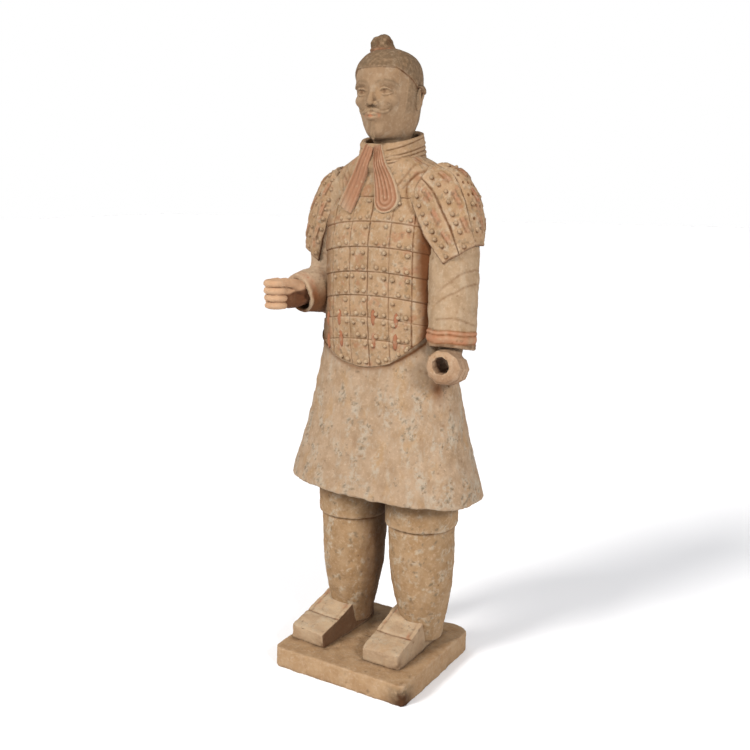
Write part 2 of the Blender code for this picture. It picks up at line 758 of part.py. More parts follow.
def make_plinth(material):
    rings = [
        plinth_outline(PLINTH_EDGE, 0.0),
        plinth_outline(0.0, PLINTH_EDGE),
        plinth_outline(0.0, PLINTH_THICK - PLINTH_EDGE),
        plinth_outline(PLINTH_EDGE, PLINTH_THICK),
    ]
    return skin("plinth", rings, material)


def main():
    clear_scene()
    body_clay = clay("warm_terracotta", (0.46, 0.32, 0.20))
    plinth_clay = clay("plinth_terracotta", (0.42, 0.27, 0.16))
    make_plinth(plinth_clay)
    make_body(body_clay)
    make_head(clay("head_terracotta", (0.40, 0.27, 0.18)))
    hand_clay = clay("hand_terracotta", (0.55, 0.36, 0.24))
    make_left_hand(hand_clay)
    make_right_hand(hand_clay)


main()
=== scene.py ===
# Terracotta warrior: relief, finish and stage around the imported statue.
# Metres, +Z up. The figure faces -Y and its left side is +X.

import math

import bpy
import numpy as np
import openvdb
from mathutils import Euler, Matrix, Vector
from mathutils.bvhtree import BVHTree


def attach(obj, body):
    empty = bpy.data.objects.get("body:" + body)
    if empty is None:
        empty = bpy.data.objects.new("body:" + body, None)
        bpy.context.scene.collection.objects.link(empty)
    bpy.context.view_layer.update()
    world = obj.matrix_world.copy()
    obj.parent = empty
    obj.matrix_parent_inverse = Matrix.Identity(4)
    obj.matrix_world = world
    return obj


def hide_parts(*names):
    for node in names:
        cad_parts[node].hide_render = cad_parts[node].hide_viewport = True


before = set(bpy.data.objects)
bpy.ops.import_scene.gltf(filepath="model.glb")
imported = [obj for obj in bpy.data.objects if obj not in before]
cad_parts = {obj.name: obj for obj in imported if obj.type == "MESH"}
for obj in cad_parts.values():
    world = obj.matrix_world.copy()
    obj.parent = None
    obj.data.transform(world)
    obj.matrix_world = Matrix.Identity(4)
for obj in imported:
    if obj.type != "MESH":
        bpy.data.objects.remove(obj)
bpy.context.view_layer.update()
mm = 0.001


def metres(rows):
    # nested rows of millimetres
    return [metres(row) for row in rows] if isinstance(rows, (list, tuple)) else rows * mm


def unit(way):
    return way / np.linalg.norm(way)


def follow(rows, place):
    # smooth values at place along rows of (place, value, value, ...)
    rows = np.asarray(rows, float)
    knots, values = rows[:, 0], rows[:, 1:]
    last = len(rows) - 1
    spots = np.arange(len(rows))
    after, before = np.minimum(spots + 1, last), np.maximum(spots - 1, 0)
    slopes = (values[after] - values[before]) / (knots[after] - knots[before])[:, None]
    place = np.clip(np.asarray(place, float), knots[0], knots[-1])
    k = np.clip(np.searchsorted(knots, place, side="right") - 1, 0, last - 1)
    span = (knots[k + 1] - knots[k])[..., None]
    s = (place - knots[k])[..., None] / span
    return (
        (2 * s**3 - 3 * s**2 + 1) * values[k]
        + (s**3 - 2 * s**2 + s) * span * slopes[k]
        + (3 * s**2 - 2 * s**3) * values[k + 1]
        + (s**3 - s**2) * span * slopes[k + 1]
    )


def ripple(points, wavelength, seed, octaves=1):
    # repeatable unevenness, mostly between -1 and 1
    rng = np.random.default_rng(seed)
    total = np.zeros(points.shape[:-1])
    for octave in range(octaves):
        size = wavelength / 2**octave
        waves = rng.normal(size=(14, 3))
        waves /= np.linalg.norm(waves, axis=1)[:, None]
        waves *= rng.uniform(0.7, 1.5, (14, 1)) * math.tau / size
        phases = rng.uniform(0, math.tau, 14)
        total += np.sin(points @ waves.T + phases).sum(-1) * 0.27 / 2**octave
    return total


def soft(value, low, high):
    t = np.clip((value - low) / (high - low), 0, 1)
    return t * t * (3 - 2 * t)


def bump(distance, width):
    return np.exp(-((distance / width) ** 2))


def oval(angle, half, front, back, power):
    c, s = np.cos(angle), np.sin(angle)
    depth = np.where(s > 0, back, front)
    x = half * np.sign(c) * np.abs(c) ** (2 / power)
    y = depth * np.sign(s) * np.abs(s) ** (2 / power)
    return x, y


def spread(marks, step, groove=0.0, low=None, high=None):
    # positions from low to high with a line on each mark and close lines beside it
    stops = [low] if low is not None else []
    for mark in marks:
        stops += [mark - 2 * groove, mark - groove, mark, mark + groove, mark + 2 * groove] if groove else [mark]
    stops += [high] if high is not None else []
    places = []
    for a, b in zip(stops, stops[1:]):
        count = max(1, round((b - a) / step))
        places += [a + (b - a) * i / count for i in range(count)]
    return np.array(places + [stops[-1]])


def faceNormals(points, faces):
    total = np.zeros_like(points)
    for group in faces:
        for i in range(1, group.shape[1] - 1):
            a, b, c = points[group[:, 0]], points[group[:, i]], points[group[:, i + 1]]
            normal = np.cross(b - a, c - a)
            for corner in (group[:, 0], group[:, i], group[:, i + 1]):
                for axis in range(3):
                    total[:, axis] += np.bincount(corner, normal[:, axis], len(points))
    return total / np.maximum(np.linalg.norm(total, axis=1), 1e-12)[:, None]


def volumeOf(points, faces):
    total = 0.0
    for group in faces:
        for i in range(1, group.shape[1] - 1):
            a, b, c = points[group[:, 0]], points[group[:, i]], points[group[:, i + 1]]
            total += np.einsum("ij,ij->i", a, np.cross(b, c)).sum() / 6
    return total


layers = ("dirt", "paint", "wear", "lime", "soot", "stain")


def startSurface(points, faces):
    faces = [np.asarray(group) for group in faces if len(group)]
    if volumeOf(points, faces) < 0:
        faces = [group[:, ::-1] for group in faces]
    count = len(points)
    surface = {key: np.zeros(count) for key in ("lift", *layers)}
    return {**surface, "points": points, "faces": faces, "normals": faceNormals(points, faces)}


def opened(surface, names):
    # the points, their x, y and z, then the named layers, each to be changed in place
    points = surface["points"]
    return [points, *points.T, *(surface[name] for name in names.split())]


def ringQuads(rows, count):
    index = np.arange(rows * count).reshape(rows, count)
    turned = np.roll(index, -1, 1)
    return index, np.stack([index[:-1], turned[:-1], turned[1:], index[1:]], -1).reshape(-1, 4)


def shell(grid, strip=False):
    # closed skin through rows of rings; each end is a fan to its middle or a strip across
    rows, count = grid.shape[:2]
    index, sides = ringQuads(rows, count)
    points, quads, fans = [grid.reshape(-1, 3)], [sides], []
    for end, flip in ((0, True), (-1, False)):
        ring = index[end]
        if strip:
            half = count // 2
            a, b = ring[: half - 1], ring[1:half]
            c, d = ring[::-1][1:half], ring[::-1][: half - 1]
            cap = np.stack([a, b, c, d], -1)
            quads.append(cap[:, ::-1] if flip else cap)
        else:
            hub = rows * count + len(fans)
            points.append(grid[end].mean(0)[None])
            fan = np.stack([ring, np.roll(ring, -1), np.full(count, hub)], -1)
            fans.append(fan[:, ::-1] if flip else fan)
    return startSurface(np.concatenate(points), [np.concatenate(quads)] + ([np.concatenate(fans)] if fans else []))


def nearPath(points, path):
    # distance to a path of straight runs
    path = np.asarray(path, float)
    best = np.full(len(points), 9.0)
    for a, b in zip(path, path[1:]):
        run = b - a
        t = np.clip(((points - a) @ run) / (run @ run), 0, 1)
        best = np.minimum(best, np.linalg.norm(points - a - t[:, None] * run, axis=1))
    return best


def smoothPath(path, count=14):
    rows = [(i, *point) for i, point in enumerate(path)]
    return follow(rows, np.linspace(0, len(path) - 1, count))


def score(surface, path, width, depth, dirt=0.9):
    # a groove cut with the edge of a tool
    points, laid = surface["points"], []
    for spot in smoothPath(path, 16):
        k = np.linalg.norm(points - spot, axis=1).argmin()
        laid.append(spot - surface["normals"][k] * ((spot - points[k]) @ surface["normals"][k]))
    near = bump(nearPath(points, smoothPath(laid, 24)), width)
    surface["lift"] -= depth * near
    surface["dirt"][:] = np.maximum(surface["dirt"], dirt * near)


def dent(surface, count, seed, size=(3 * mm, 8 * mm), depth=1.2 * mm, dark=0.7):
    # small chips and air holes of the fired clay
    rng = np.random.default_rng(seed)
    points = surface["points"]
    order = np.argsort(points[:, 2])
    heights = points[order, 2]
    for centre in points[rng.integers(0, len(points), count)]:
        radius = rng.uniform(*size)
        deep, shade = depth * rng.uniform(0.4, 1.0), dark * rng.uniform(0.0, 1.0)
        low, high = np.searchsorted(heights, [centre[2] - radius, centre[2] + radius])
        near = order[low:high]
        share = np.linalg.norm(points[near] - centre, axis=1) / radius
        inside = near[share < 1]
        share = share[share < 1]
        surface["lift"][inside] -= deep * (1 - share**2) ** 2
        surface["dirt"][inside] = np.maximum(surface["dirt"][inside], shade * (1 - share**2))


def peck(surface, spots, radius, depth, dark=0.9):
    # round holes pushed into the clay and darkened; under studs, shallow dents with painted shadow
    for spot in spots:
        share = np.linalg.norm(surface["points"] - np.asarray(spot), axis=1) / radius
        inside = share < 1
        surface["lift"][inside] -= depth * (1 - share[inside] ** 2)
        surface["dirt"][inside] = np.maximum(surface["dirt"][inside], dark * (1 - share[inside] ** 4))


def roughen(surface, broad, fine, seed):
    # hand-built unevenness, broad over 60 mm and fine over 14 mm
    surface["lift"] += broad * ripple(surface["points"], 60 * mm, seed, 2)
    surface["lift"] += fine * ripple(surface["points"], 14 * mm, seed + 1, 2)


def addPiece(name, surface, material, node=None, hollowDirtAndShade=1.0):
    points = surface["points"] + surface["normals"] * surface["lift"][:, None]
    mesh = bpy.data.meshes.new(name)
    mesh.from_pydata(points.tolist(), [], [face for group in surface["faces"] for face in group.tolist()])
    normals = faceNormals(points, surface["faces"])
    edges = np.empty(len(mesh.edges) * 2, np.int32)
    mesh.edges.foreach_get("vertices", edges)
    a, b = edges.reshape(-1, 2).T
    ends, others = np.concatenate([a, b]), np.concatenate([b, a])
    degree = np.maximum(np.bincount(ends, minlength=len(points)), 1)

    def spreadOut(values):
        return np.bincount(ends, values[others], len(points)) / degree

    # hollows darken with dirt and painted shade, edges rub bright
    middle = np.stack([spreadOut(points[:, k]) for k in range(3)], -1)
    length = np.bincount(ends, np.linalg.norm(points[ends] - points[others], axis=1), len(points)) / degree
    curve = np.einsum("ij,ij->i", middle - points, normals) / np.maximum(length, 1e-6)
    for _ in range(3):
        curve = 0.5 * curve + 0.5 * spreadOut(curve)
    surface["dirt"] = np.clip(surface["dirt"] + hollowDirtAndShade * np.clip(curve * 6 - 0.1, 0, 0.8), 0, 1)
    surface["wear"] = np.clip(surface["wear"] + np.clip(-curve * 6 - 0.15, 0, 0.7), 0, 1)
    for key in layers:
        mesh.attributes.new(key, "FLOAT", "POINT").data.foreach_set("value", surface[key].astype(np.float32))
    mesh.materials.append(material)
    mesh.shade_smooth()
    placePiece(name, mesh, node)


def carry(surface, place):
    # from the piece's own axes to the statue's
    spin = np.array(place.to_3x3())
    surface["points"] = surface["points"] @ spin.T + np.array(place.translation)
    surface["normals"] = surface["normals"] @ spin.T


def addObject(name, data):
    thing = bpy.data.objects.new(name, data)
    bpy.context.collection.objects.link(thing)
    return thing


def placePiece(name, mesh, node=None):
    piece = addObject(name, mesh)
    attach(piece, "root")
    if node:
        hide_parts(node)
    count = sum(len(face.vertices) - 2 for face in mesh.polygons)
    print(f"{name}: {count} triangles")


def startBlock(low, high, step):
    axes = [np.arange(a, b + step, step, dtype=np.float32) for a, b in zip(low, high)]
    field = np.full([len(axis) for axis in axes], 0.05, np.float32)
    return {"axes": axes, "step": step, "field": field}


def blended(a, b, blend):
    if blend <= 0:
        return np.minimum(a, b)
    h = np.maximum(blend - np.abs(a - b), 0) / blend
    return np.minimum(a, b) - h * h * blend / 4


def mould(block, shape, blend=0.0, cut=False):
    distance, low, high = shape
    window, cells = [], []
    for axis, a, b in zip(block["axes"], low, high):
        margin = blend + 5 * block["step"]
        i, j = np.searchsorted(axis, [a - margin, b + margin])
        window.append(slice(i, j))
        cells.append(axis[i:j])
    x, y, z = np.meshgrid(*cells, indexing="ij", sparse=True)
    part = block["field"][tuple(window)]
    amount = distance(x, y, z).astype(np.float32)
    block["field"][tuple(window)] = -blended(-part, amount, blend) if cut else blended(part, amount, blend)


def blob(centre, radii, turn=(0, 0, 0)):
    centre, radii = np.array(centre), np.array(radii)
    spin = np.array(Euler([math.radians(a) for a in turn]).to_matrix())

    def distance(x, y, z):
        dx, dy, dz = x - centre[0], y - centre[1], z - centre[2]
        local = [dx * spin[0, k] + dy * spin[1, k] + dz * spin[2, k] for k in range(3)]
        near = np.sqrt(sum((v / r) ** 2 for v, r in zip(local, radii)))
        slope = np.sqrt(sum((v / r**2) ** 2 for v, r in zip(local, radii)))
        return near * (near - 1) / np.maximum(slope, 1e-6)

    reach = np.abs(spin) @ radii
    return distance, centre - reach, centre + reach


def rope(path, radii, count=None):
    # round-ended run of changing thickness through a path
    rows = np.array([(i, *point, radius) for i, (point, radius) in enumerate(zip(path, radii))], float)
    if count:
        spots = follow(rows, np.linspace(0, len(path) - 1, count))
    else:
        spots = rows[:, 1:]

    def distance(x, y, z):
        best = None
        for a, b in zip(spots, spots[1:]):
            run = b[:3] - a[:3]
            t = ((x - a[0]) * run[0] + (y - a[1]) * run[1] + (z - a[2]) * run[2]) / max(run @ run, 1e-9)
            t = np.clip(t, 0, 1)
            away = (x - a[0] - t * run[0]) ** 2 + (y - a[1] - t * run[1]) ** 2 + (z - a[2] - t * run[2]) ** 2
            near = np.sqrt(away) - (a[3] + t * (b[3] - a[3]))
            best = near if best is None else np.minimum(best, near)
        return best

    thick = spots[:, 3:].max()
    return distance, spots[:, :3].min(0) - thick, spots[:, :3].max(0) + thick


def wedge(planes, low, high):
    # solid inside flat faces, each a (point, outward direction)
    def distance(x, y, z):
        best = None
        for point, out in planes:
            out = unit(np.array(out, float))
            near = (x - point[0]) * out[0] + (y - point[1]) * out[1] + (z - point[2]) * out[2]
            best = near if best is None else np.maximum(best, near)
        return best

    return distance, np.array(low), np.array(high)


def cast(block):
    # the block's surface as a skin
    step = block["step"]
    limit = 4 * step
    grid = openvdb.FloatGrid(limit)
    grid.copyFromArray(np.clip(block["field"], -limit, limit))
    points, quads = grid.convertToQuads(isovalue=0.0)
    origin = np.array([axis[0] for axis in block["axes"]])
    return startSurface(np.asarray(points, float) * step + origin, [np.asarray(quads)])


def linear(code):
    parts = [int(code[i : i + 2], 16) / 255 for i in (0, 2, 4)]
    return (*[c / 12.92 if c <= 0.04045 else ((c + 0.055) / 1.055) ** 2.4 for c in parts], 1.0)


def freshTree(owner):
    owner.use_nodes = True
    owner.node_tree.nodes.clear()
    return owner.node_tree


def addNode(tree, kind, settings=None, links=None):
    node = tree.nodes.new(kind)
    for key, value in (settings or {}).items():
        if isinstance(key, str) and hasattr(node, key) and key not in node.inputs:
            setattr(node, key, value)
        else:
            node.inputs[key].default_value = value
    for key, source in (links or {}).items():
        tree.links.new(source, node.inputs[key])
    return node.outputs


clayTone = {
    "pale": "b1967b", "deep": "a2866a", "ochre": "a07a52", "lime": "b7aa98", "soot": "645848",
    "dirt": "683e1e", "paint": "ad7152", "bright": "bda48c", "patch": 0.5, "streak": 0.5,
    "pits": 0.5, "painted": 0.0, "grain": 0.5, "bare": 0.34, "shade": (0.695, 0.695, 0.665),
}


def makeClay(name, **changes):
    # unglazed earthenware, pressed and scraped by hand, fired and buried: matt, mottled in
    # warm buffs, with lime bloom, soot in the pores and earth left in every groove; the dark
    # earth, stain and wear layers also carry painted shade and painted highlight
    tone = {**clayTone, **changes}
    material = bpy.data.materials.new(name)
    tree = freshTree(material)
    place = addNode(tree, "ShaderNodeTexCoord")["Object"]
    rough, smooth = {"Roughness": 0.6}, {"interpolation_type": "SMOOTHSTEP"}

    def dulled(key):
        return [*(part * shade for part, shade in zip(linear(tone[key]), tone["shade"])), 1]

    # small ragged pores in clusters, thickest where lime lies
    wander = addNode(tree, "ShaderNodeTexNoise", {"Scale": 130.0, "Detail": 5.0}, {"Vector": place})["Color"]
    wander = addNode(tree, "ShaderNodeVectorMath", {"operation": "SCALE", "Scale": 0.028}, {0: wander})[0]
    wander = addNode(tree, "ShaderNodeVectorMath", {"operation": "ADD"}, {0: place, 1: wander})[0]
    cells = {"Scale": 1 / 0.015, "Randomness": 1.0}
    cell = addNode(tree, "ShaderNodeTexVoronoi", cells, {"Vector": wander})["Distance"]
    cell = addNode(tree, "ShaderNodeMapRange", {**smooth, "From Min": 0.42, "From Max": 0.15}, {"Value": cell})[0]
    limed = addNode(tree, "ShaderNodeAttribute", {"attribute_name": "lime"})["Fac"]
    cluster = addNode(tree, "ShaderNodeTexNoise", {**rough, "Scale": 20.0, "Detail": 6.0}, {"Vector": place})["Fac"]
    cluster = addNode(tree, "ShaderNodeMath", {"operation": "MULTIPLY_ADD", 1: 0.16}, {0: limed, 2: cluster})[0]
    cluster = addNode(tree, "ShaderNodeMapRange", {**smooth, "From Min": 0.52, "From Max": 0.66}, {"Value": cluster})[0]
    pores = addNode(tree, "ShaderNodeMath", {"operation": "MULTIPLY"}, {0: cell, 1: cluster})[0]

    # a tone, the attribute that holds it in place, its strength, then the noise that breaks
    # it up: size in metres, detail, seed, upright stretch and the two limits
    base, painted = None, None if tone["painted"] else "paint"
    for colour, held, strength, size, detail, seed, stretch, low, high in (
        ("pale", None, 1.0, 0.045, 6, 3.1, 1, 0.3, 0.68),
        ("ochre", None, 0.6 * tone["patch"], 0.05, 4, 8.7, 0.5, 0.5, 0.7),
        ("bright", None, 0.55, 0.009, 4, 1.9, 1, 0.48, 0.75),
        ("deep", None, 0.7 * tone["grain"], 0.006, 4, 4.4, 1, 0.5, 0.78),
        ("lime", None, 0.75 * tone["streak"], 0.022, 6, 5.3, 0.4, 0.5, 0.74),
        ("lime", "lime", 0.85, 0.01, 5, 6.1, 1, 0.36, 0.62),
        ("paint", painted, tone["painted"] or 1.0, 0.014, 5, 2.2, 1, tone["bare"], tone["bare"] + 0.22),
        # rubbed bright edges, and painted highlight
        ("bright", "wear", 0.8, 0.01, 3, 7.7, 1, 0.2, 0.6),
        ("soot", "soot", 0.9, 0.009, 4, 6.6, 1, 0.18, 0.6),
        ("dirt", "dirt", 0.9, 0.015, 3, 5.5, 1, 0.05, 0.6),
        # smooth painted shade, with a few real stains
        ("dirt", "stain", 0.9, 0.03, 4, 9.2, 1, -0.3, 0.5),
        ("soot", "pores", tone["pits"], 0.006, 3, 4.9, 1, 0.3, 0.55),
    ):
        shift = {"Location": (seed, seed * 0.7, seed * 1.3), "Scale": (1, 1, stretch)}
        moved = addNode(tree, "ShaderNodeMapping", shift, {"Vector": place})[0]
        grain = {**rough, "Scale": 1 / size, "Detail": detail}
        cloud = addNode(tree, "ShaderNodeTexNoise", grain, {"Vector": moved})["Fac"]
        limits = {**smooth, "From Min": low, "From Max": high, "To Max": strength}
        amount = addNode(tree, "ShaderNodeMapRange", limits, {"Value": cloud})[0]
        if held:
            mask = pores if held == "pores" else addNode(tree, "ShaderNodeAttribute", {"attribute_name": held})["Fac"]
            amount = addNode(tree, "ShaderNodeMath", {"operation": "MULTIPLY"}, {0: amount, 1: mask})[0]
        under = {6: base} if base else {}
        over = {"data_type": "RGBA", 6: dulled("deep"), 7: dulled(colour)}
        base = addNode(tree, "ShaderNodeMix", over, {0: amount, **under})[2]

    fine = addNode(tree, "ShaderNodeTexNoise", {**rough, "Scale": 290.0, "Detail": 3.0}, {"Vector": place})["Fac"]
    coarse = addNode(tree, "ShaderNodeTexNoise", {**rough, "Scale": 55.0, "Detail": 4.0}, {"Vector": place})["Fac"]
    fine = addNode(tree, "ShaderNodeMath", {"operation": "MULTIPLY", 1: 0.0008}, {0: fine})[0]
    broad = addNode(tree, "ShaderNodeMath", {"operation": "MULTIPLY_ADD", 1: 0.003}, {0: coarse, 2: fine})[0]
    height = addNode(tree, "ShaderNodeMath", {"operation": "MULTIPLY_ADD", 1: -0.0014}, {0: pores, 2: broad})[0]
    normal = addNode(tree, "ShaderNodeBump", {"Strength": 0.7, "Distance": 1.0}, {"Height": height})[0]
    shader = addNode(tree, "ShaderNodeBsdfPrincipled", {
        "Roughness": 0.92, "IOR": 1.5, "Specular IOR Level": 0.22, "Metallic": 0.0,
    }, {"Base Color": base, "Normal": normal})[0]
    addNode(tree, "ShaderNodeOutputMaterial", {}, {"Surface": shader})
    return material


clays = {
    "vest": makeClay("earthenware_pressed_plates", pale="aa8c6f", deep="9a7c5d", pits=0.25, streak=0.35,
        paint="9a6045", dirt="62381a"),
    "skirt": makeClay("earthenware_scraped_skirt", pale="a9917a", deep="987e65", ochre="a5845f", lime="b0a698",
        pits=0.6, streak=0.7, patch=1.0),
    "sleeve": makeClay("earthenware_smoothed_sleeve", pale="aa9177", deep="9a8065", pits=0.5, streak=0.4,
        paint="ab7557", bare=0.22),
    "leg": makeClay("earthenware_coiled_legs", pale="a48768", deep="927352", dirt="57351c", pits=0.45, streak=0.3),
    "shoe": makeClay("earthenware_cut_shoes", pale="bda488", deep="ad9277", dirt="5c3a22", pits=0.4),
    "plinth": makeClay("earthenware_slab_plinth", pale="b09272", deep="a07f5e", dirt="4a2e18", pits=0.2, streak=0.2),
    "face": makeClay("earthenware_burnished_face", pale="9b8066", deep="8e7258", bright="ae957b", dirt="5a3820",
        pits=0.12, streak=0.15, soot="5c4935", paint="b06f50"),
    "hand": makeClay("earthenware_pink_hand", pale="cea889", deep="be9474", dirt="5a2f14", pits=0.1, streak=0.2),
    "fist": makeClay("earthenware_cut_fist", pale="ad8f75", deep="9b7c62", pits=0.15, streak=0.25),
    "lace": makeClay("earthenware_red_lacquer_traces", painted=0.9, pits=0.25, paint="9c6348", pale="a58468",
        deep="8d6b4e", bare=0.28),
    "stud": makeClay("earthenware_moulded_studs", pale="ab9077", deep="957a5e", pits=0.3, soot="544838"),
    "plateStud": makeClay("earthenware_moulded_plate_studs", pale="b59c80", deep="a0856a", pits=0.2),
    "scarf": makeClay("earthenware_red_neck_cloth", pits=0.15, streak=0.3, paint="a0745a", bare=0.2),
}
print("materials ready")


plinth = {
    "left": 0.226, "right": -0.236, "front": -0.199, "back": 0.227, "thick": 0.064,
    "rounds": (0.045, 0.045, 0.027, 0.012), "edge": 3.6 * mm, "step": 5 * mm, "reach": 0.2,
    "shoes": ((0.104, 0.02), (-0.15, 0.02)), "shoeHalf": (0.062, 0.146),
}


def plinthRing(inset, height):
    corners = [("left", "back"), ("right", "back"), ("right", "front"), ("left", "front")]
    outline = []
    for k, (aside, ahead) in enumerate(corners):
        corner, radius = np.array([plinth[aside], plinth[ahead]]), plinth["rounds"][k]
        hub = corner - np.sign(corner) * radius
        for angle in np.radians(90 * k + np.linspace(0, 90, 9)):
            outline.append(hub + radius * np.array([math.cos(angle), math.sin(angle)]))
    outline = np.array(outline + outline[:1])
    along = np.concatenate([[0], np.cumsum(np.linalg.norm(np.diff(outline, axis=0), axis=1))])
    count = round(along[-1] / plinth["step"])
    places = np.arange(count) * along[-1] / count
    ring = np.stack([np.interp(places, along, outline[:, k]) for k in range(2)], -1)
    middle = np.array([plinth["left"] + plinth["right"], plinth["front"] + plinth["back"]]) / 2
    ring = middle + (ring - middle) * (1 - inset / plinth["reach"])
    return np.column_stack([ring, np.full(count, height)])


def makePlinth():
    thick, edge = plinth["thick"], plinth["edge"]
    # each row is (distance in from the edge, height)
    profile = [(0.197, 0)] + [(inset, 0) for inset in np.arange(0.18, 0.009, -0.02)]
    profile += [(edge, 0), (edge * 0.3, edge * 0.3), (0, edge)]
    profile += [(0, z) for z in np.arange(2 * edge, thick - 1.5 * edge, plinth["step"])]
    profile += [(0, thick - edge), (edge * 0.3, thick - edge * 0.3), (edge, thick)]
    profile += [(inset, thick) for inset in np.arange(edge + plinth["step"], 0.196, plinth["step"])]
    surface = shell(np.stack([plinthRing(*row) for row in profile]))
    points, px, py, pz, lift, dirt, soot, stain = opened(surface, "lift dirt soot stain")
    roughen(surface, 0.9 * mm, 0.35 * mm, 11)
    top = soft(pz, 0.5 * thick, thick)
    # worn and chipped rims, most at the near corner
    rim = bump(pz - thick, 5 * mm) + bump(pz, 6 * mm)
    outside = soft(np.abs(surface["normals"][:, 2]), 0.95, 0.6)
    lift -= 1.5 * mm * rim * outside * np.clip(ripple(points, 30 * mm, 12, 2), 0, 1.4)
    corner = np.linalg.norm(points[:, :2] - [plinth["left"], plinth["front"]], axis=1)
    lift -= 3 * mm * bump(corner, 20 * mm) * np.clip(ripple(points, 16 * mm, 13, 2) + 0.3, 0, 1.5)
    soot += 0.8 * bump(corner, 46 * mm) * soft(pz, 0.068, 0.04)
    stain += 1.3 * bump(corner, 44 * mm) * soft(pz + 9 * mm * ripple(points, 0.03, 16, 2), 0.06, 0.014)
    dirt += 0.5 * bump(pz, 9 * mm) * np.clip(ripple(points, 40 * mm, 14) + 0.4, 0, 1)
    # earth washed in round the shoes
    wide, long = plinth["shoeHalf"]
    for x, y in plinth["shoes"]:
        near = np.maximum(np.abs(px - x) - wide, np.abs(py - y) - long)
        dirt += 0.45 * top * bump(np.maximum(near, 0), 9 * mm)
    dent(surface, 70, 15)
    lift[pz < 0.1 * mm] = 0
    addPiece("plinth_relief", surface, clays["plinth"], "plinth")


makePlinth()


# skirt of the long robe
robe = {
    "stations": metres([
        (557, 312, 175, 164, 64), (595, 305, 165, 157, 65),
        (655, 285, 150, 147, 67), (755, 258, 128, 133, 71),
        (855, 236, 107, 120, 75), (930, 221, 93, 111, 79),
        (1000, 210, 95, 106, 83), (1100, 192, 102, 102, 85),
    ]),
    "hem": 0.557, "top": 1.06, "wall": 0.03, "recess": 0.06, "tilt": 0.032, "swing": 0.006,
    "round": 9 * mm, "folds": 1.3 * mm, "step": 5 * mm, "around": 300,
    "axis": 0.07, "flare": 0.3, "power": 2.5, "fistShadowSpot": (0.206, 0.018, 0.88),
}


def robeRing(height, inset):
    half, front, back, middle = follow(robe["stations"], height)
    low = max(0.0, 1 - (height - robe["hem"]) / robe["flare"])
    angle = np.arange(robe["around"]) * math.tau / robe["around"]
    x, y = oval(angle, half - inset, front - inset, back - inset, robe["power"])
    x = x + robe["swing"] * math.sqrt(low)
    return np.stack([x, y + middle, height - robe["tilt"] * low * x], -1)


def makeSkirt():
    hem, roundness = robe["hem"], robe["round"]
    profile = [(z, robe["wall"]) for z in np.arange(hem + robe["recess"], hem + roundness + 2 * mm, -robe["step"])]
    for angle in np.radians(np.arange(0, 181, 20)):
        reach = roundness if angle > math.pi / 2 else robe["wall"] - roundness
        profile.append((hem + roundness * (1 - math.sin(angle)), roundness + reach * math.cos(angle)))
    profile += [(z, 0.0) for z in np.arange(hem + roundness + robe["step"], robe["top"], robe["step"])]
    surface = shell(np.stack([robeRing(z, inset) for z, inset in profile]))
    points, px, py, pz, lift, lime, soot, stain = opened(surface, "lift lime soot stain")
    turn = np.arctan2(py - robe["axis"], px)
    # shallow upright folds that open towards the hem
    low = soft(pz, 0.98, 0.56)
    waves = np.sin(turn * 13 + 1.2 * np.sin(turn * 3 + 1)) + 0.6 * np.sin(turn * 23 + 2 * np.sin(turn * 2))
    lift += robe["folds"] * low * waves * (0.6 + 0.4 * ripple(points * [1, 1, 0.3], 0.2, 21))
    roughen(surface, 1.0 * mm, 0.35 * mm, 22)
    edge = bump(pz - hem + robe["tilt"] * px, 10 * mm)
    lift -= 0.6 * mm * edge * np.clip(ripple(points, 40 * mm, 23, 2), 0, 1.5)
    lime += 0.72 * soft(ripple(points * [1, 1, 0.55], 0.05, 24, 3), 0.2, 0.9) * soft(pz, 0.93, 0.84)
    soot += 0.8 * soft(ripple(points * [1, 1, 0.7], 0.016, 26, 3), 0.6, 1.2) * soft(lime, 0.1, 0.6)
    # painted shadow right under the vest's hem, and the fist's painted shadow on the skirt
    around = np.copysign(np.arccos(np.clip(px / vest["hemHalf"], -1, 1)), py - robe["axis"])
    below = vestHem(around) - pz
    thick = 0.6 + 0.4 * soft(px, 0.0, 0.12)
    stain += thick * (bump(below - 4 * mm, 6 * mm) + 0.2 * bump(below - 14 * mm, 14 * mm))
    stain += bump(np.linalg.norm((points - robe["fistShadowSpot"]) / [1, 1, 1.7], axis=1), 21 * mm)
    dent(surface, 260, 25, (2.5 * mm, 6.5 * mm), 1.4 * mm, 0.6)
    addPiece("robe_skirt", surface, clays["skirt"], "body")


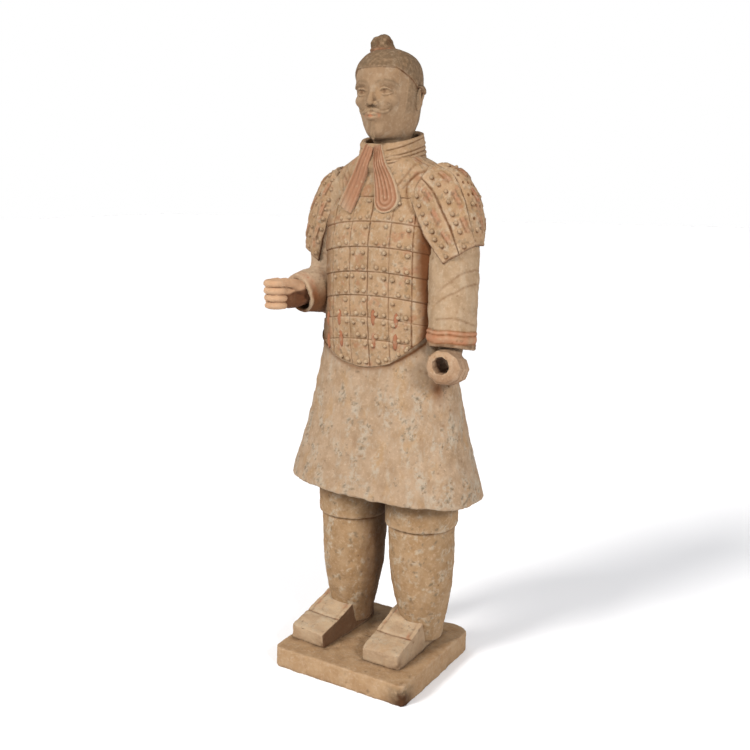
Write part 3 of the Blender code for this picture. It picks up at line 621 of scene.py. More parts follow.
# armour vest of plates
vest = {
    "stations": metres([
        (920, 235, 97, 118, 80), (1000, 216, 108, 117, 82),
        (1075, 204, 115, 115, 84), (1145, 198, 117, 114, 85),
        (1215, 198, 117, 114, 86), (1285, 200, 115, 116, 87),
        (1350, 200, 105, 118, 90), (1415, 190, 87, 113, 96),
        (1465, 177, 84, 104, 98), (1500, 148, 86, 92, 100),
        (1520, 113, 90, 84, 101), (1530, 94, 92, 78, 101),
    ]),
    "power": 2.3, "top": 1.53, "wall": 0.04,
    "seams": (-0.134, -0.063, 0.0, 0.068, 0.134), "sideWidth": 0.24,
    "lines": (1.013, 1.078, 1.141, 1.209, 1.279, 1.35, 1.418), "drop": 0.7, "waist": 1.1,
    "groove": 1.4 * mm, "deep": 3.2 * mm, "lap": 3.0 * mm, "step": 3.7 * mm,
    "shades": (0.35, 0.3, 0.85, 0.4, 0.9), "sideShade": 0.6,  # earth in each upright seam, darkest at the middle and the figure's left side: partly painted shade
    "low": 0.929, "half": 0.2, "lipHalf": 0.22, "lips": (0.034, 0.022, 0.012, 0.004), "hemHalf": 0.228,
    "yoke": 1.4, "yokeDrop": 0.6, "sideDrop": 0.35,
    "straps": metres([
        [(70, 25, 1448), (94, 30, 1478), (118, 40, 1512)],
        [(86, 24, 1440), (108, 28, 1466), (128, 34, 1486)],
    ]),
    # the armhole line that each guard starts from: path, width and earth
    "armholes": [
        (metres([(160, 63, 1505), (147, 43, 1494), (131, 35, 1484), (115, 27, 1470),
        (99, 28, 1452), (97, 22, 1424), (108, 14, 1396), (126, 3, 1374)]), 3.4 * mm, 0.5),
        (metres([(-158, 63, 1500), (-156, 40, 1475), (-149, 32, 1437), (-147, 30, 1410)]), 4.0 * mm, 0.9),
        (metres([(51, 12, 1504), (69, 32, 1521), (97, 61, 1524),
        (131, 64, 1516), (158, 68, 1506)]), 2.8 * mm, 0.6),
        (metres([(-111, 40, 1489), (-119, 37, 1463), (-116, 29, 1435)]), 3.2 * mm, 0.25),
    ],
}


def vestHem(angle):
    x = vest["hemHalf"] * np.cos(angle)
    front = vest["low"] + 2.2 * (x + 0.03) ** 2
    behind = 0.955 + 1.1 * x**2
    share = np.clip(np.sin(angle) * 1.5 + 0.5, 0, 1)
    return np.minimum(1.03, front + (behind - front) * share)


def vestAngle(zone, value, half):
    # zone 0 back, 1 figure's right, 2 front, 3 left; value is x, or the share along a side
    edge = np.minimum(vest["seams"][-1], half * 0.86)
    narrow = edge / vest["seams"][-1]

    def turn(x):
        return np.arccos(np.sign(x) * np.clip(np.abs(x * narrow) / half, 0, 1) ** (vest["power"] / 2))

    limit = turn(np.full_like(half, vest["seams"][-1]))
    if zone == 0:
        return turn(np.full_like(half, value))
    if zone == 2:
        return math.tau - turn(np.full_like(half, value))
    if zone == 1:
        return (math.pi - limit) + 2 * limit * value
    return (math.tau - limit) + 2 * limit * value


def vestPoint(angle, height, inset=0.0):
    half, front, back, middle = np.moveaxis(follow(vest["stations"], height), -1, 0)
    x, y = oval(angle, half - inset, front - inset, back - inset, vest["power"])
    return np.stack([x, y + middle, height], -1)


def smoothSkin(grids):
    # search tree over plain outer skins, for laying things on them
    verts, faces = [], []
    for grid in grids:
        faces += (ringQuads(*grid.shape[:2])[1] + len(verts)).tolist()
        verts += grid.reshape(-1, 3).tolist()
    return BVHTree.FromPolygons(verts, faces)


vestAngles = np.arange(120) * math.tau / 120
vestLow = vestHem(vestAngles)
vestLevels = vestLow + (vest["top"] - vestLow) * np.linspace(0, 1, 60)[:, None]
vestSkin = np.stack([vestPoint(vestAngles, heights) for heights in vestLevels])
vestTree = smoothSkin([vestSkin])


def onVest(x, z, behind=False):
    way = Vector((0, -1 if behind else 1, 0))
    hit, normal = vestTree.ray_cast(Vector((x, 0.6 if behind else -0.4, z)), way)[:2]
    if hit is None:
        return None
    if normal.y * way.y > 0:
        normal = -normal
    return hit, normal, Vector((0, 0, 1))


vestStuds = {
    "aside": 13 * mm, "below": 14 * mm, "above": 12 * mm, "jitter": 2.5 * mm, "likely": 0.93, "upperLeft": 0.45,
    "form": {"width": 12 * mm, "length": 12 * mm, "height": 6.6 * mm, "seed": 4, "variation": 0.18},
}


def lineHeight(k, x, drop=vest["drop"]):
    line = vest["lines"][k]
    return line - drop * x * x * (vest["yokeDrop"] if line > vest["yoke"] else 1.0)


def placeVestStuds():
    rng = np.random.default_rng(41)
    spots = []
    for behind in (False, True):
        for k in range(-1, len(vest["lines"]) - 1):
            for left, right in zip(vest["seams"], vest["seams"][1:]):
                aside, middle = right - vestStuds["aside"], (left + right) / 2 - 4 * mm
                wanted = [(aside, "top"), (aside, "low"), (middle, "low")]
                if rng.random() < vestStuds["upperLeft"]:
                    wanted.append((left + vestStuds["aside"], "top"))
                for x, where in wanted:
                    x += rng.uniform(-1, 1) * vestStuds["jitter"]
                    if where == "top":
                        z = lineHeight(k + 1, x) - vestStuds["below"]
                    elif k >= 0:
                        z = lineHeight(k, x) + vestStuds["above"]
                    else:
                        z = float(vestHem(-math.acos(max(-1, min(1, x / vest["hemHalf"]))))) + vestStuds["below"]
                    z += rng.uniform(-1, 1) * vestStuds["jitter"]
                    spot = onVest(x, z, behind)
                    if spot and rng.random() < vestStuds["likely"]:
                        spots.append((spot[0] + spot[1] * 0.4 * mm, spot[1], spot[2]))
    return spots


vestSpots = placeVestStuds()


def makeVest():
    groove, seams, wide = vest["groove"], vest["seams"], vest["sideWidth"]
    across = spread(seams[1:-1], vest["step"], groove, seams[0], seams[-1])
    closeTo = np.array([groove, 2 * groove])
    across = np.sort(np.concatenate([across, seams[0] + closeTo, seams[-1] - closeTo]))
    side = spread([0.5], vest["step"] / wide, groove / wide, 0.0, 1.0)
    side = np.sort(np.concatenate([side, closeTo / wide, 1 - closeTo / wide]))
    columns = [(0, x) for x in across[::-1][:-1]] + [(1, s) for s in side[:-1]]
    columns += [(2, x) for x in across[:-1]] + [(3, s) for s in side[:-1]]
    marks = np.array([vest["low"], *vest["lines"], vest["top"]])
    levels = spread(vest["lines"], vest["step"], groove, marks[0], marks[-1])

    def seamsOf(zone):
        return np.array([0.0, 0.5, 1.0]) * wide if zone % 2 else np.array(seams)

    grid, gap, cell, share, fades, shades = [], [], [], [], [], []
    for zone, value in columns:
        nominal = vestAngle(zone, value, np.array([vest["half"]]))[0]
        x = vest["half"] * math.cos(nominal)
        front = soft(-math.sin(nominal), -0.4, 0.4)
        drop = vest["drop"] * front + vest["sideDrop"] * (1 - front)
        hem = float(vestHem(nominal))
        lines = [max(lineHeight(k, x, drop), hem + 3 * mm * (k + 1)) for k in range(len(vest["lines"]))]
        heights = np.interp(levels, marks, [hem, *lines, vest["top"]])
        half = follow(vest["stations"], heights)[:, 0]
        grid.append(vestPoint(vestAngle(zone, value, half), heights))
        places = seamsOf(zone)
        here = value * wide if zone % 2 else value
        gap.append(np.abs(places - here).min())
        shades.append(vest["sideShade"] if zone % 2 else vest["shades"][int(np.abs(places - here).argmin())])
        k = int(np.clip(np.searchsorted(places, here, side="right") - 1, 0, len(places) - 2))
        cell.append(zone * 10 + k)
        share.append((here - places[k]) / (places[k + 1] - places[k]))
        clear = [soft(line - hem, 3 * mm * (k + 1), 3 * mm * (k + 5)) for k, line in enumerate(lines)]
        fades.append(np.interp(levels, marks, [1, *clear, 1]))
    outer = np.stack(grid, 1)
    gap, cell, share, fades = np.array(gap), np.array(cell), np.array(share), np.stack(fades, 1)

    # the lip under the hem, then the outside
    angles = np.array([vestAngle(zone, value, np.array([vest["lipHalf"]]))[0] for zone, value in columns])
    hem = outer[0, :, 2]
    lips = [(12 * mm, vest["wall"]), *((0.5 * mm, inset) for inset in vest["lips"]), (0.8 * mm, 1 * mm)]
    lower = np.stack([vestPoint(angles, hem + rise, inset) for rise, inset in lips])
    first = len(lower)
    outer[0, :, 2] += 2.2 * mm
    surface = shell(np.concatenate([lower, outer]))
    points, px, py, pz, lift, *tones = opened(surface, "lift dirt paint wear lime soot stain")
    dirt, paint, wear, lime, soot, stain = tones
    size = outer.shape[:2]
    window = slice(first * size[1], (first + size[0]) * size[1])

    level = np.repeat(levels[:, None], size[1], 1)
    lineGap = np.abs(levels[:, None] - np.array(vest["lines"])[None]).min(1)
    row = np.clip(np.searchsorted(marks, levels, side="right") - 1, 0, len(marks) - 2)
    rise = (levels - marks[row]) / (marks[row + 1] - marks[row])
    plated = (level <= vest["lines"][-1] + groove).astype(float)
    rng = np.random.default_rng(31)
    plates = rng.uniform(-1, 1, (len(marks), 40, 3))
    pick = plates[row[:, None], cell[None, :]]
    upper = (level > vest["waist"]).astype(float)
    lapShare = np.where(upper > 0, 1 - rise[:, None], rise[:, None])
    height = plated * (
        vest["lap"] * (lapShare - 0.4) + 0.7 * mm * pick[..., 0]
        + 0.6 * mm * (pick[..., 1] * (share[None] - 0.5) + pick[..., 2] * (rise[:, None] - 0.5))
    )
    shades = np.array(shades)[None]
    seamLine = bump(gap, 1.4 * groove)[None] * plated
    rowLine = bump(lineGap, 1.3 * groove)[:, None] * fades * (0.5 + 0.5 * upper)
    height -= vest["deep"] * np.maximum(seamLine * (0.4 + 0.6 * shades), 0.9 * rowLine)
    height += 1.5 * mm * soft(level, 1.42, 1.426)
    lift[window] += height.ravel()
    dirt[window] += np.maximum(seamLine * shades, 0.6 * rowLine).ravel()
    edge = bump(lineGap - 3 * mm, 1.6 * mm)[:, None] * plated * fades
    wear[window] += 0.35 * edge.ravel()

    # shoulder straps let into the yoke, and the armhole lines
    for side in (1, -1):
        for path in vest["straps"]:
            score(surface, [(side * x, y, z) for x, y, z in path], 2.8 * mm, 1.8 * mm, 0.55)
    for path, width, dark in vest["armholes"]:
        score(surface, path, width, 2.4 * mm, dark)
    # a shallow dent with painted shadow just below and right of each stud
    peck(surface, [spot[0] + Vector((1 * mm, 0, -4 * mm)) for spot in vestSpots], 7.5 * mm, 0.8 * mm, 0.75)
    # painted shade under the left arm, and less under the right
    sides = soft(px - 0.012 * soft(pz, 1.25, 1.05), 0.13, 0.16) + 0.45 * soft(-px, 0.134, 0.16)
    stain += 1.1 * sides * soft(pz, 1.4, 1.34) * soft(py, 0.13, 0.05)
    roughen(surface, 0.8 * mm, 0.3 * mm, 32)
    paint += 0.4 * soft(ripple(points, 0.05, 33, 2), 0.75, 1.2)
    lime += 0.6 * soft(ripple(points, 0.03, 34, 3), 0.55, 1.1)
    soot += 0.6 * soft(ripple(points, 0.022, 36, 3), 1.15, 1.5)
    dent(surface, 130, 35, (2.5 * mm, 6 * mm), 1.2 * mm, 0.6)
    addPiece("armour_vest", surface, clays["vest"], "body")


makeVest()
makeSkirt()


# studs and laces share one small tree
studTree = {"Segments": 8, "Rings": 5, "Radius": 1.0}


def buildStudTree():
    tree = bpy.data.node_groups.new("studs on points", "GeometryNodeTree")
    tree.interface.new_socket("Geometry", in_out="OUTPUT", socket_type="NodeSocketGeometry")
    tree.interface.new_socket("Geometry", in_out="INPUT", socket_type="NodeSocketGeometry")
    for name, kind, value in (
        ("Width", "NodeSocketFloat", 9.5 * mm), ("Length", "NodeSocketFloat", 9.5 * mm),
        ("Height", "NodeSocketFloat", 4 * mm), ("Variation", "NodeSocketFloat", 0.15),
        ("Seed", "NodeSocketInt", 1), ("Clay", "NodeSocketMaterial", None),
    ):
        socket = tree.interface.new_socket(name, in_out="INPUT", socket_type=kind)
        if value is not None:
            socket.default_value = value
    given = addNode(tree, "NodeGroupInput")
    dome = addNode(tree, "GeometryNodeMeshUVSphere", studTree)[0]
    facing, upright = [
        addNode(tree, "GeometryNodeInputNamedAttribute", {"data_type": "FLOAT_VECTOR", "Name": key})[0]
        for key in ("facing", "upright")
    ]
    turn = addNode(tree, "FunctionNodeAlignRotationToVector", {"axis": "Z"}, {"Vector": facing})[0]
    upwards = {"axis": "Y", "pivot_axis": "Z"}
    turn = addNode(tree, "FunctionNodeAlignRotationToVector", upwards, {"Rotation": turn, "Vector": upright})[0]
    vary = addNode(tree, "FunctionNodeRandomValue", {"data_type": "FLOAT"}, {"Seed": given["Seed"]})
    for limit, operation in ((2, "SUBTRACT"), (3, "ADD")):
        share = addNode(tree, "ShaderNodeMath", {"operation": operation, 0: 1.0}, {1: given["Variation"]})[0]
        tree.links.new(share, vary[1].node.inputs[limit])
    half = {"operation": "MULTIPLY", 1: 0.5}
    halves = [addNode(tree, "ShaderNodeMath", half, {0: given[key]})[0] for key in ("Width", "Length")]
    size = addNode(tree, "ShaderNodeCombineXYZ", {}, {0: halves[0], 1: halves[1], 2: given["Height"]})[0]
    size = addNode(tree, "ShaderNodeVectorMath", {"operation": "SCALE"}, {0: size, "Scale": vary[1]})[0]
    placed = {"Points": given["Geometry"], "Instance": dome, "Rotation": turn, "Scale": size}
    placed = addNode(tree, "GeometryNodeInstanceOnPoints", {}, placed)[0]
    whole = addNode(tree, "GeometryNodeRealizeInstances", {}, {0: placed})[0]
    smooth = addNode(tree, "GeometryNodeSetShadeSmooth", {}, {0: whole})[0]
    made = addNode(tree, "GeometryNodeSetMaterial", {}, {"Geometry": smooth, "Material": given["Clay"]})[0]
    addNode(tree, "NodeGroupOutput", {}, {0: made})
    return tree


studNodes = buildStudTree()


def addStuds(name, spots, material, **sizes):
    # spots are (point, outward, along)
    points = bpy.data.meshes.new(name + "_points")
    points.from_pydata([list(spot[0]) for spot in spots], [], [])
    for key, k in (("facing", 1), ("upright", 2)):
        layer = points.attributes.new(key, "FLOAT_VECTOR", "POINT")
        layer.data.foreach_set("vector", np.array([list(spot[k]) for spot in spots], np.float32).ravel())
    carrier = addObject(name + "_carrier", points)
    modifier = carrier.modifiers.new("studs", "NODES")
    modifier.node_group = studNodes
    for socket in studNodes.interface.items_tree:
        key = socket.name.lower()
        if key in sizes:
            modifier[socket.identifier] = sizes[key]
        elif socket.name == "Clay":
            modifier[socket.identifier] = material
    mesh = bpy.data.meshes.new_from_object(carrier.evaluated_get(bpy.context.evaluated_depsgraph_get()))
    mesh.name = name
    for key in ("facing", "upright"):
        if key in mesh.attributes:
            mesh.attributes.remove(mesh.attributes[key])
    carrier.modifiers.remove(modifier)
    bpy.data.objects.remove(carrier)
    placePiece(name, mesh)


addStuds("vest_studs", vestSpots, clays["plateStud"], **vestStuds["form"])

laces = {
    "places": (-0.156, -0.1, 0.018, 0.088),
    "form": {"width": 15 * mm, "length": 50 * mm, "height": 4.8 * mm, "seed": 5, "variation": 0.12},
}


def makeLaces():
    rng = np.random.default_rng(43)
    spots = []
    for behind in (False, True):
        for k in (0, 1):
            for x in laces["places"]:
                x += rng.uniform(-3, 3) * mm
                spot = onVest(x, lineHeight(k, x) + rng.uniform(-4, 4) * mm, behind)
                if spot:
                    upright = Vector((rng.uniform(-0.08, 0.08), 0, 1))
                    spots.append((spot[0], spot[1], upright))
    addStuds("vest_laces", spots, clays["lace"], **laces["form"])


makeLaces()
print("vest dressed")


def tubeRings(path, sides, steps, front):
    # dense rings along rows of (x, y, z, radius across, radius forward)
    rows = [(i, *row) for i, row in enumerate(path)]
    stations = follow(rows, np.linspace(0, len(path) - 1, steps))
    forward = np.array(front, float)
    rings = []
    for i, row in enumerate(stations):
        along = unit(stations[min(i + 1, steps - 1), :3] - stations[max(i - 1, 0), :3])
        forward = unit(forward - along * (forward @ along))
        across = np.cross(forward, along)
        angle = np.arange(sides)[:, None] * math.tau / sides
        rings.append((row[:3], across, forward, along, row[3], row[4], angle))
    return rings


def ringPoints(ring, shrink=0.0, push=0.0):
    centre, across, forward, along, wide, deep, angle = ring
    aside, ahead = np.cos(angle) * (wide - shrink), np.sin(angle) * (deep - shrink)
    return centre + along * push + across * aside - forward * ahead


# sleeves: rows of x, y, z, radius across and radius forward
leftSleeve = {
    "path": metres([
        (80, 105, 1425, 68, 68), (140, 105, 1430, 78, 76), (182, 104, 1404, 80, 79),
        (204, 100, 1345, 75, 78), (213, 87, 1280, 73, 76), (224, 69, 1200, 72, 74),
        (231, 53, 1120, 70, 71), (238, 40, 1060, 68, 70), (239, 29, 1004, 68, 70),
    ]),
    "wall": 12 * mm, "recess": 60 * mm, "sides": 110, "steps": 150,
    "bands": (1.053, 1.041, 1.018), "rolls": (1.047, 1.03),
    "lip": ((1 * mm, 2 * mm), (4 * mm, 3.2 * mm), (8 * mm, 3.2 * mm), (12 * mm, 1 * mm)),  # inwards, outwards
    "creases": metres([
        [(222, -10, 1165), (245, -5, 1186), (262, 6, 1201), (279, 23, 1214), (294, 73, 1219), (280, 120, 1205)],
        [(215, -18, 1132), (248, -11, 1153), (265, -1, 1161), (285, 23, 1176), (297, 77, 1180), (283, 118, 1165)],
        [(219, -23, 1087), (255, -22, 1092), (273, -14, 1092), (288, -1, 1086), (301, 21, 1076), (305, 45, 1067)],
        [(150, 50, 1240), (155, 30, 1200), (160, 10, 1150)],
        [(285, 130, 1290), (230, 155, 1270), (180, 140, 1285)],
        [(290, 110, 1120), (240, 125, 1100), (190, 105, 1115)],
    ]),
}


def makeLeftSleeve():
    rings = tubeRings(leftSleeve["path"], leftSleeve["sides"], leftSleeve["steps"], (0, -1, 0))
    last = rings[-1]
    grid = [ringPoints(ring) for ring in rings] + [ringPoints(last, *row) for row in leftSleeve["lip"]]
    depths = np.arange(4 * mm, leftSleeve["recess"], 6 * mm)
    grid += [ringPoints(last, leftSleeve["wall"], -depth) for depth in depths]
    surface = shell(np.stack(grid))
    points, px, py, pz, lift, dirt, paint, soot, stain = opened(surface, "lift dirt paint soot stain")
    for path in leftSleeve["creases"]:
        score(surface, path, 2.6 * mm, 2.0 * mm, 0.42)
    # cuff turned up in two rolls
    outside = np.zeros(len(points))
    outside[: leftSleeve["steps"] * leftSleeve["sides"]] = 1
    level = pz + 0.1 * (py - 0.03) + 0.0015 * np.sin(px * 90)
    for height in leftSleeve["bands"]:
        near = bump(level - height, 2.4 * mm) * outside
        lift -= 1.5 * mm * near
        dirt += 0.7 * near
    rolls = sum(bump(level - middle, 7 * mm) for middle in leftSleeve["rolls"])
    lift += (2.4 * mm * np.clip(rolls, 0, 1) + 0.8 * mm * soft(level, 1.02, 1.016)) * outside
    red = soft(level, 1.056, 1.051) * soft(level, 1.014, 1.019) * outside
    paint += red * np.clip(0.9 + 0.4 * ripple(points, 0.05, 51), 0, 1)
    chipped = soft(level, 1.02, 1.014) * outside
    soot += 0.9 * chipped * soft(ripple(points, 0.03, 54, 2), -0.5, 0.3)
    stain += 0.45 * chipped
    lift -= 1.5 * mm * chipped * np.clip(ripple(points, 0.02, 58, 2), 0, 1.3)
    roughen(surface, 1.1 * mm, 0.3 * mm, 52)
    dent(surface, 70, 53, (2.5 * mm, 5 * mm), 1.1 * mm, 0.8)
    # painted shade inside the open end of the sleeve
    hollow = 1 - outside
    dirt += 0.9 * hollow * soft(pz, 1.0, 1.02)
    addPiece("sleeve_left_relief", surface, clays["sleeve"], "body")


makeLeftSleeve()


rightSleeve = {
    "upper": metres([
        (-80, 105, 1425, 68, 68), (-135, 105, 1430, 74, 74), (-170, 105, 1396, 74, 77),
        (-192, 108, 1345, 75, 78), (-208, 118, 1280, 75, 77), (-220, 131, 1210, 73, 74),
        (-224, 142, 1150, 70, 71), (-225, 149, 1110, 62, 62), (-225, 151, 1080, 38, 38),
    ]),
    "fore": metres([
        (-216, 200, 1128, 30, 30), (-218, 185, 1127, 54, 56), (-222, 155, 1129, 68, 72),
        (-230, 105, 1134, 70, 77), (-239, 45, 1135, 63, 72), (-247, -6, 1133, 57, 63),
    ]),
    "creases": metres([
        [(-282, 120, 1215), (-296, 118, 1180), (-290, 85, 1150)],
        [(-250, 200, 1250), (-220, 208, 1230), (-190, 200, 1240)],
        [(-292, 50, 1190), (-305, 40, 1150), (-300, 30, 1110)],
    ]),
    "box": metres(((-325, -85, 1030), (-30, 262, 1535))), "step": 3.1 * mm, "drop": 9 * mm,
    # bore of the cuff: distance past the end, drop and radius
    "hollow": metres(((-85, 0, 30), (-50, 0, 44), (12, 6, 46), (90, 8, 46))),
    "longer": 13 * mm, "aslant": 8.0, "overhang": 0.16, "rim": (0.056, 0.05, 4.6 * mm), "lower": 6 * mm,
}


def makeRightSleeve():
    low, high = rightSleeve["box"]
    block = startBlock(low, high, rightSleeve["step"])

    def limb(path):
        return rope([row[:3] for row in path], [(row[3] + row[4]) / 2 for row in path], 24)

    mould(block, limb(rightSleeve["upper"][:-1]))
    end, before = np.array(rightSleeve["fore"][-1][:3]), np.array(rightSleeve["fore"][-2][:3])
    along = unit(end - before)
    reach = end + along * 34 * mm - [0, 0, rightSleeve["drop"]]
    mould(block, limb(rightSleeve["fore"] + [(*reach, 0.051, 0.053)]), 0.03)
    # cuff cut aslant and longer above than below, with a rolled rim
    mouth = end + along * rightSleeve["longer"] - [0, 0, rightSleeve["lower"]]
    spin = np.array(Matrix.Rotation(math.radians(-rightSleeve["aslant"]), 3, "Z"))
    face = unit(spin @ along - [0, 0, rightSleeve["overhang"]])
    sideways = unit(np.cross(face, [0, 0, 1]))
    upwards = np.cross(sideways, face)
    upwards /= upwards[2]
    mould(block, wedge([(mouth - face * 1 * mm, -face)], low, high), 0.0, True)
    wide, tall, rim = rightSleeve["rim"]
    turns = np.linspace(0, math.tau, 41)
    ring = [mouth - face * 4 * mm + sideways * math.cos(a) * wide + upwards * math.sin(a) * tall for a in turns]
    mould(block, rope(ring, [rim] * len(turns)), 5 * mm)
    hollow = [end + along * ahead - [0, 0, drop] for ahead, drop, _ in rightSleeve["hollow"]]
    mould(block, rope(hollow, [radius for _, _, radius in rightSleeve["hollow"]]), 4 * mm, True)
    surface = cast(block)
    points, px, py, pz, dirt, paint, wear, stain = opened(surface, "dirt paint wear stain")
    for path in rightSleeve["creases"]:
        score(surface, path, 4.0 * mm, 2.2 * mm, 0.6)
    roughen(surface, 1.2 * mm, 0.3 * mm, 55)
    depth = (points - end) @ along
    axisGap = np.linalg.norm(points - end - depth[:, None] * along, axis=1)
    # painted shade down the bore of the cuff
    dirt += 0.8 * soft(axisGap, 0.056, 0.05) * soft(depth, 0.004, -0.02) * soft(depth, -0.095, -0.085)
    paint += 0.35 * soft(ripple(points, 0.05, 56, 2), 0.35, 0.9)
    ahead = (points - mouth) @ face
    # painted shade on the underside of the forearm behind the rim, and on the lower rim
    under = soft(pz, 1.178, 1.112) * soft(py, 0.16, 0.08) * soft(axisGap, 0.046, 0.054)
    stain += under * soft(ahead, -4 * mm, -12 * mm)
    stain += soft(ahead, -10 * mm, -4 * mm) * soft(px + pz, 0.87, 0.84)
    paint += 0.7 * bump(ahead + 18 * mm, 12 * mm) * soft(axisGap, 0.046, 0.054)
    # painted light on the upper arm, where the guard's shadow falls
    wear += soft(pz, 1.15, 1.19) * soft(pz, 1.36, 1.28) * soft(py, 0.15, 0.1)
    dent(surface, 60, 57, (3 * mm, 6 * mm), 1.1 * mm, 0.6)
    addPiece("sleeve_right_relief", surface, clays["sleeve"], "body")


makeRightSleeve()


# shoulder guards of five lames each
guards = {
    # a net of points down each lame's edge, from the front edge round to the back one
    "shares": (0.0, 0.145, 0.315, 0.53, 0.76, 1.0), "downs": (0.0, 0.25, 0.5, 0.75, 1.0),
    "left": metres([
        [(106, 20, 1412), (134, 1, 1374), (158, -1, 1326), (188, 1, 1280), (228, -7, 1241)],
        [(139, 27, 1470), (183, 19, 1430), (213, 16, 1378), (242, 13, 1328), (268, 12, 1264)],
        [(162, 70, 1507), (218, 66, 1478), (256, 58, 1420), (280, 51, 1354), (296, 56, 1286)],
        [(172, 108, 1513), (236, 108, 1479), (276, 110, 1415), (292, 112, 1345), (294, 112, 1283)],
        [(165, 140, 1502), (216, 152, 1470), (252, 168, 1391), (260, 170, 1335), (260, 165, 1283)],
        [(130, 172, 1470), (160, 186, 1430), (185, 193, 1385), (200, 190, 1330), (212, 182, 1285)],
    ]),
    "right": metres([
        [(-160, 52, 1490), (-154, 31, 1428), (-166, 26, 1368), (-192, 26, 1302), (-222, 40, 1222)],
        [(-172, 68, 1497), (-190, 32, 1437), (-203, 22, 1380), (-222, 24, 1315), (-242, 32, 1246)],
        [(-175, 92, 1503), (-220, 72, 1462), (-246, 50, 1392), (-263, 49, 1325), (-276, 56, 1262)],
        [(-175, 115, 1505), (-225, 116, 1462), (-265, 115, 1395), (-283, 115, 1330), (-288, 115, 1274)],
        [(-168, 140, 1496), (-214, 150, 1460), (-250, 170, 1385), (-261, 177, 1325), (-262, 176, 1276)],
        [(-130, 172, 1470), (-160, 185, 1430), (-185, 193, 1385), (-200, 200, 1330), (-210, 197, 1280)],
    ]),
    "lap": 4.6 * mm, "deep": 3.6 * mm, "groove": 2.5 * mm, "thick": 20 * mm, "down": 100, "lame": 25,
    # places across and down a lame
    "holes": ((0.24, 0.52, 0.8), (0.27, 0.36, 0.49, 0.58, 0.73, 0.81)), "studsAt": (0.3, np.linspace(0.1, 0.94, 8)),
    "upperLames": (2, 3),
    "lacing": (12 * mm, 42 * mm, 2.8 * mm), "lacingAt": (0.68, (0.2, 0.48, 0.76)),
    "studs": {"width": 11.5 * mm, "length": 11.5 * mm, "height": 5.5 * mm, "variation": 0.2},
}


